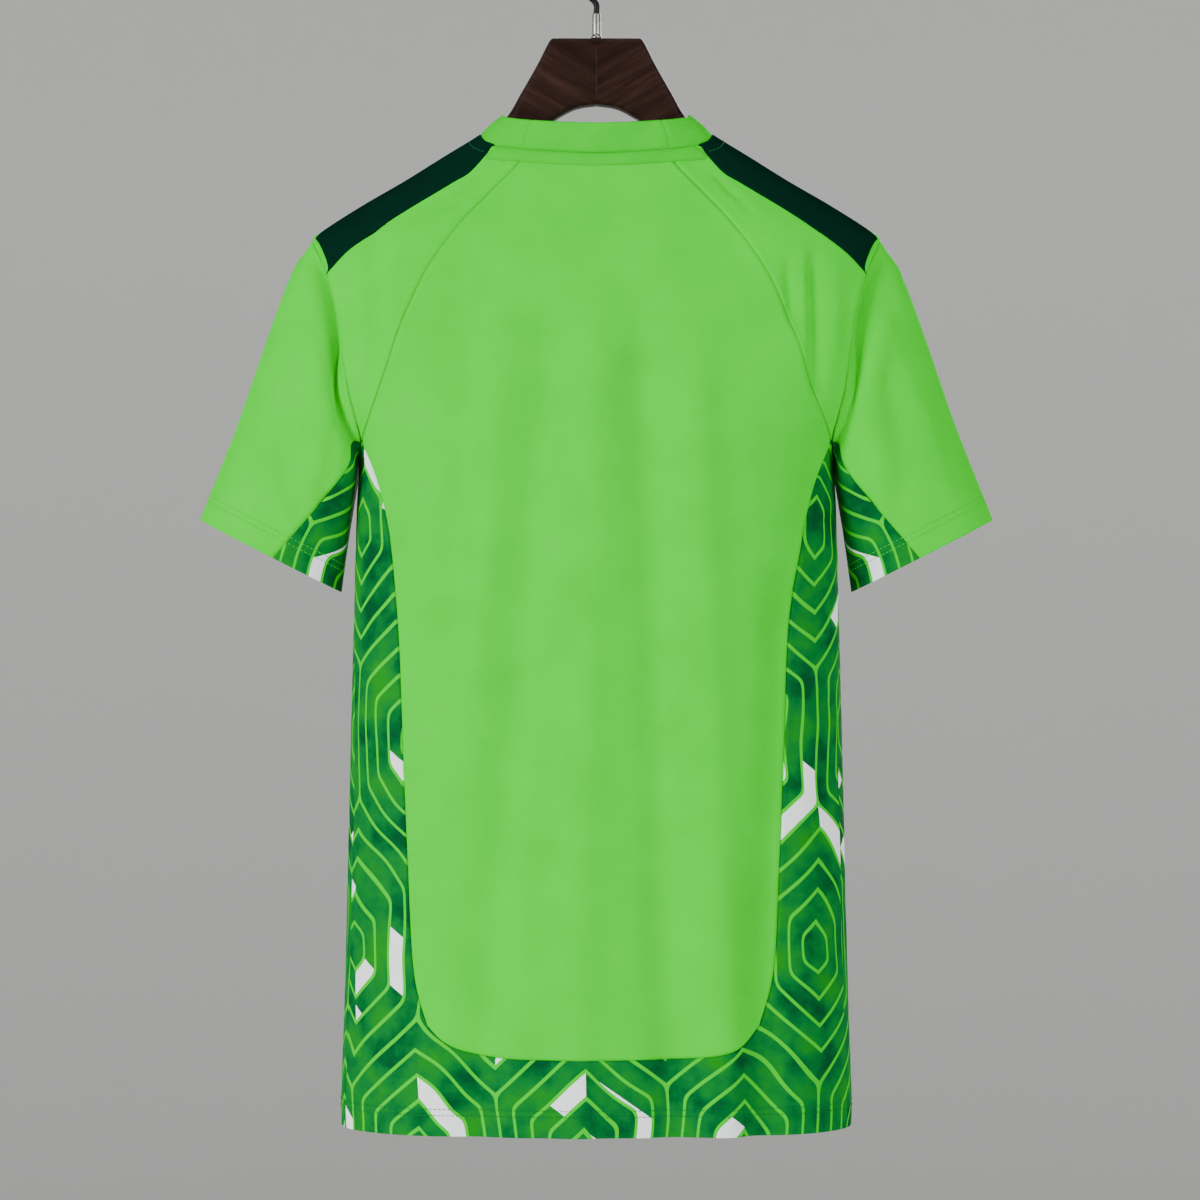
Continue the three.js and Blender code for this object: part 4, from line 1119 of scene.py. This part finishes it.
# Stitches
# Two rows of thread round the hem and each cuff hold the turned-up cloth, and one row crosses each dark
# band beside the neck seam.
stitch_pitch = 3.3
stitch_length = 2.5
short_way = 0.01  # of the way to the cuff, over which its slope is measured
band_row = (0.05, 0.055)  # shares of the way along the band: the row and a line beside it
band_row_lift = 0.3
thread_radius = 0.28
thread_sides = 6
thread_rise, thread_sink = 0.38, 0.12  # how far a stitch's middle stands out and its ends dip in
# Columns: share of the way along the stitch, share of the thread's radius
stitch_shape = np.array([(0, 0.3), (0.14, 0.85), (0.5, 1), (0.86, 0.85), (1, 0.3)])


def stitch_row(name, line, normal, material):
    """Row of stitches along a line of points: each is a short thread, thicker in its middle, whose ends dip
    into the cloth."""
    run = way_along(line)
    count = int(run[-1] // stitch_pitch)
    share, size = stitch_shape[:, 0], stitch_shape[:, 1] * thread_radius
    place = (np.arange(count) * stitch_pitch)[:, None] + stitch_length * share
    middle = np.stack([np.interp(place, run, line[:, k]) for k in range(3)], axis=-1)
    out = np.stack([np.interp(place, run, normal[:, k]) for k in range(3)], axis=-1)
    ahead = np.gradient(middle, axis=1)
    ahead /= np.linalg.norm(ahead, axis=2, keepdims=True)
    beside = np.cross(out, ahead)
    middle = middle + out * (thread_rise * np.sin(np.pi * share) - thread_sink)[None, :, None]
    turn = 2 * np.pi * np.arange(thread_sides)[:, None] / thread_sides
    round_out = np.cos(turn) * out[:, :, None] + np.sin(turn) * beside[:, :, None]
    points = middle[:, :, None] + size[None, :, None, None] * round_out
    *quads, first_end, last_end = loft(points[0])
    start = len(share) * thread_sides * np.arange(count)[:, None]
    faces = (np.array(quads)[None] + start[..., None]).reshape(-1, 4).tolist()
    faces += (np.array(first_end) + start).tolist() + (np.array(last_end) + start).tolist()
    return put_piece(name, points.reshape(-1, 3), faces, material)


def thread(name, colour):
    """Twisted polyester thread."""
    material, tree, surface = start_material(name)
    fibres = node(tree, "TexNoise", {"Vector": object_place(tree), "Scale": 2500.0})
    dark = tuple(value * 0.7 for value in colour[:3]) + (1,)
    shade = ramp(tree, fibres, [(0.35, dark), (0.65, colour)])
    feed(tree, surface, {"Base Color": shade, "Roughness": 0.5, "Specular IOR Level": 0.1})
    return material


light_thread = thread("light_green_thread", (0.030, 0.600, 0.012, 1))
dark_thread = thread("dark_green_thread", (0.010, 0.150, 0.040, 1))


def surface_normal(along_line, other_way, hint):
    """Unit normals of a surface on a line, from the line's own direction and the way across it."""
    normal = np.cross(np.gradient(along_line, axis=0), other_way - along_line)
    normal /= np.linalg.norm(normal, axis=1, keepdims=True)
    return normal * np.sign(np.sum(normal * hint, axis=1, keepdims=True))


for row_name, height in zip(("lower", "upper"), hem_rows):
    turn = np.linspace(0, 2 * np.pi, 700)
    line, line_above = [body_point(turn, hem_z + height + up + 0 * turn) for up in (0, 1)]
    normal = surface_normal(line, line_above, body_hint(turn))
    row = stitch_row(f"hem_stitches_{row_name}", line, normal, dark_thread)
    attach(row, "root")
    for side_name, side in [("left", -1), ("right", 1)]:
        turn = np.linspace(-1, 1, 500)
        edge, above = [sleeve_point(along + 0 * turn, turn, side) for along in (1, 1 - short_way)]
        along = 1 - height / (np.linalg.norm(edge - above, axis=1) / short_way)
        line = sleeve_point(along, turn, side)
        line_above = sleeve_point(along - short_way, turn, side)
        normal = surface_normal(line, line_above, sleeve_hint(turn, side))
        row = stitch_row(f"cuff_{side_name}_stitches_{row_name}", line, normal, light_thread)
        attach(row, "root")

for side_name, side in [("left", -1), ("right", 1)]:
    places = band_part(side, np.linspace(0.06, 0.94, 40), np.array(band_row))
    points = body_point(places[..., 0], places[..., 1])
    normal = surface_normal(points[0], points[1], body_hint(places[0, :, 0]))
    line = points[0] + normal * (band_lift + band_row_lift)
    row = stitch_row(f"band_{side_name}_stitches", line, normal, dark_thread)
    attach(row, "root")


# Room
# A plain pale floor that curves up into a wall all round, lit softly from both sides and above.
floor_z = -1900
floor_radius, wall_radius, wall_top = 4600, 7000, 5200
turn = np.linspace(0, np.pi / 2, 24)
bend = (wall_radius - floor_radius) * np.stack([np.sin(turn), 1 - np.cos(turn)], axis=-1)
floor = [(1, floor_z), (1500, floor_z), (3200, floor_z)]
profile = np.vstack([floor, bend + (floor_radius, floor_z), [(wall_radius, wall_top)]])
turn = np.linspace(0, 2 * np.pi, 96, endpoint=False)[:, None]
radius, height = profile[:, 0], profile[:, 1]
points = np.stack([radius * np.cos(turn), radius * np.sin(turn), height + 0 * turn], axis=-1)
index = np.arange(points.shape[0] * points.shape[1]).reshape(points.shape[:2])
beside = np.roll(index, -1, axis=0)
faces = np.stack([index[:, :-1], index[:, 1:], beside[:, 1:], beside[:, :-1]], axis=-1)
paint, tree, surface = start_material("pale_paint")
feed(tree, surface, {"Base Color": (0.72, 0.72, 0.71, 1), "Roughness": 0.9})
faces = faces.reshape(-1, 4).tolist() + [index[:, 0].tolist()]
room = put_piece("room", points.reshape(-1, 3), faces, paint)

world = bpy.data.worlds.new("studio")
bpy.context.scene.world = world
world.use_nodes = True
daylight = {"Color": (0.95, 0.97, 1.0, 1), "Strength": 0.12}
feed(world.node_tree, world.node_tree.nodes["Background"], daylight)
for name, place, aim, width, watts in [
    ("key_light", (-3.2, -2.4, 0.1), (0, 0, -0.45), 1.3, 212),
    ("fill_light", (2.9, -3.0, 0.0), (0, 0, -0.5), 1.8, 132),
    ("top_light", (0.2, -0.6, 2.6), (0, 0, -0.4), 1.6, 34),
    ("rear_light", (0.8, 3.4, 0.8), (0, 0, -0.5), 2.0, 150),
]:
    lamp = bpy.data.lights.new(name, "AREA")
    lamp.shape = "SQUARE"
    lamp.size = width
    lamp.energy = watts
    light = bpy.data.objects.new(name, lamp)
    light.location = place
    x, y, z = np.array(aim) - np.array(place)
    light.rotation_euler = (np.arctan2(np.hypot(x, y), -z), 0, np.arctan2(y, x) - np.pi / 2)
    bpy.context.collection.objects.link(light)
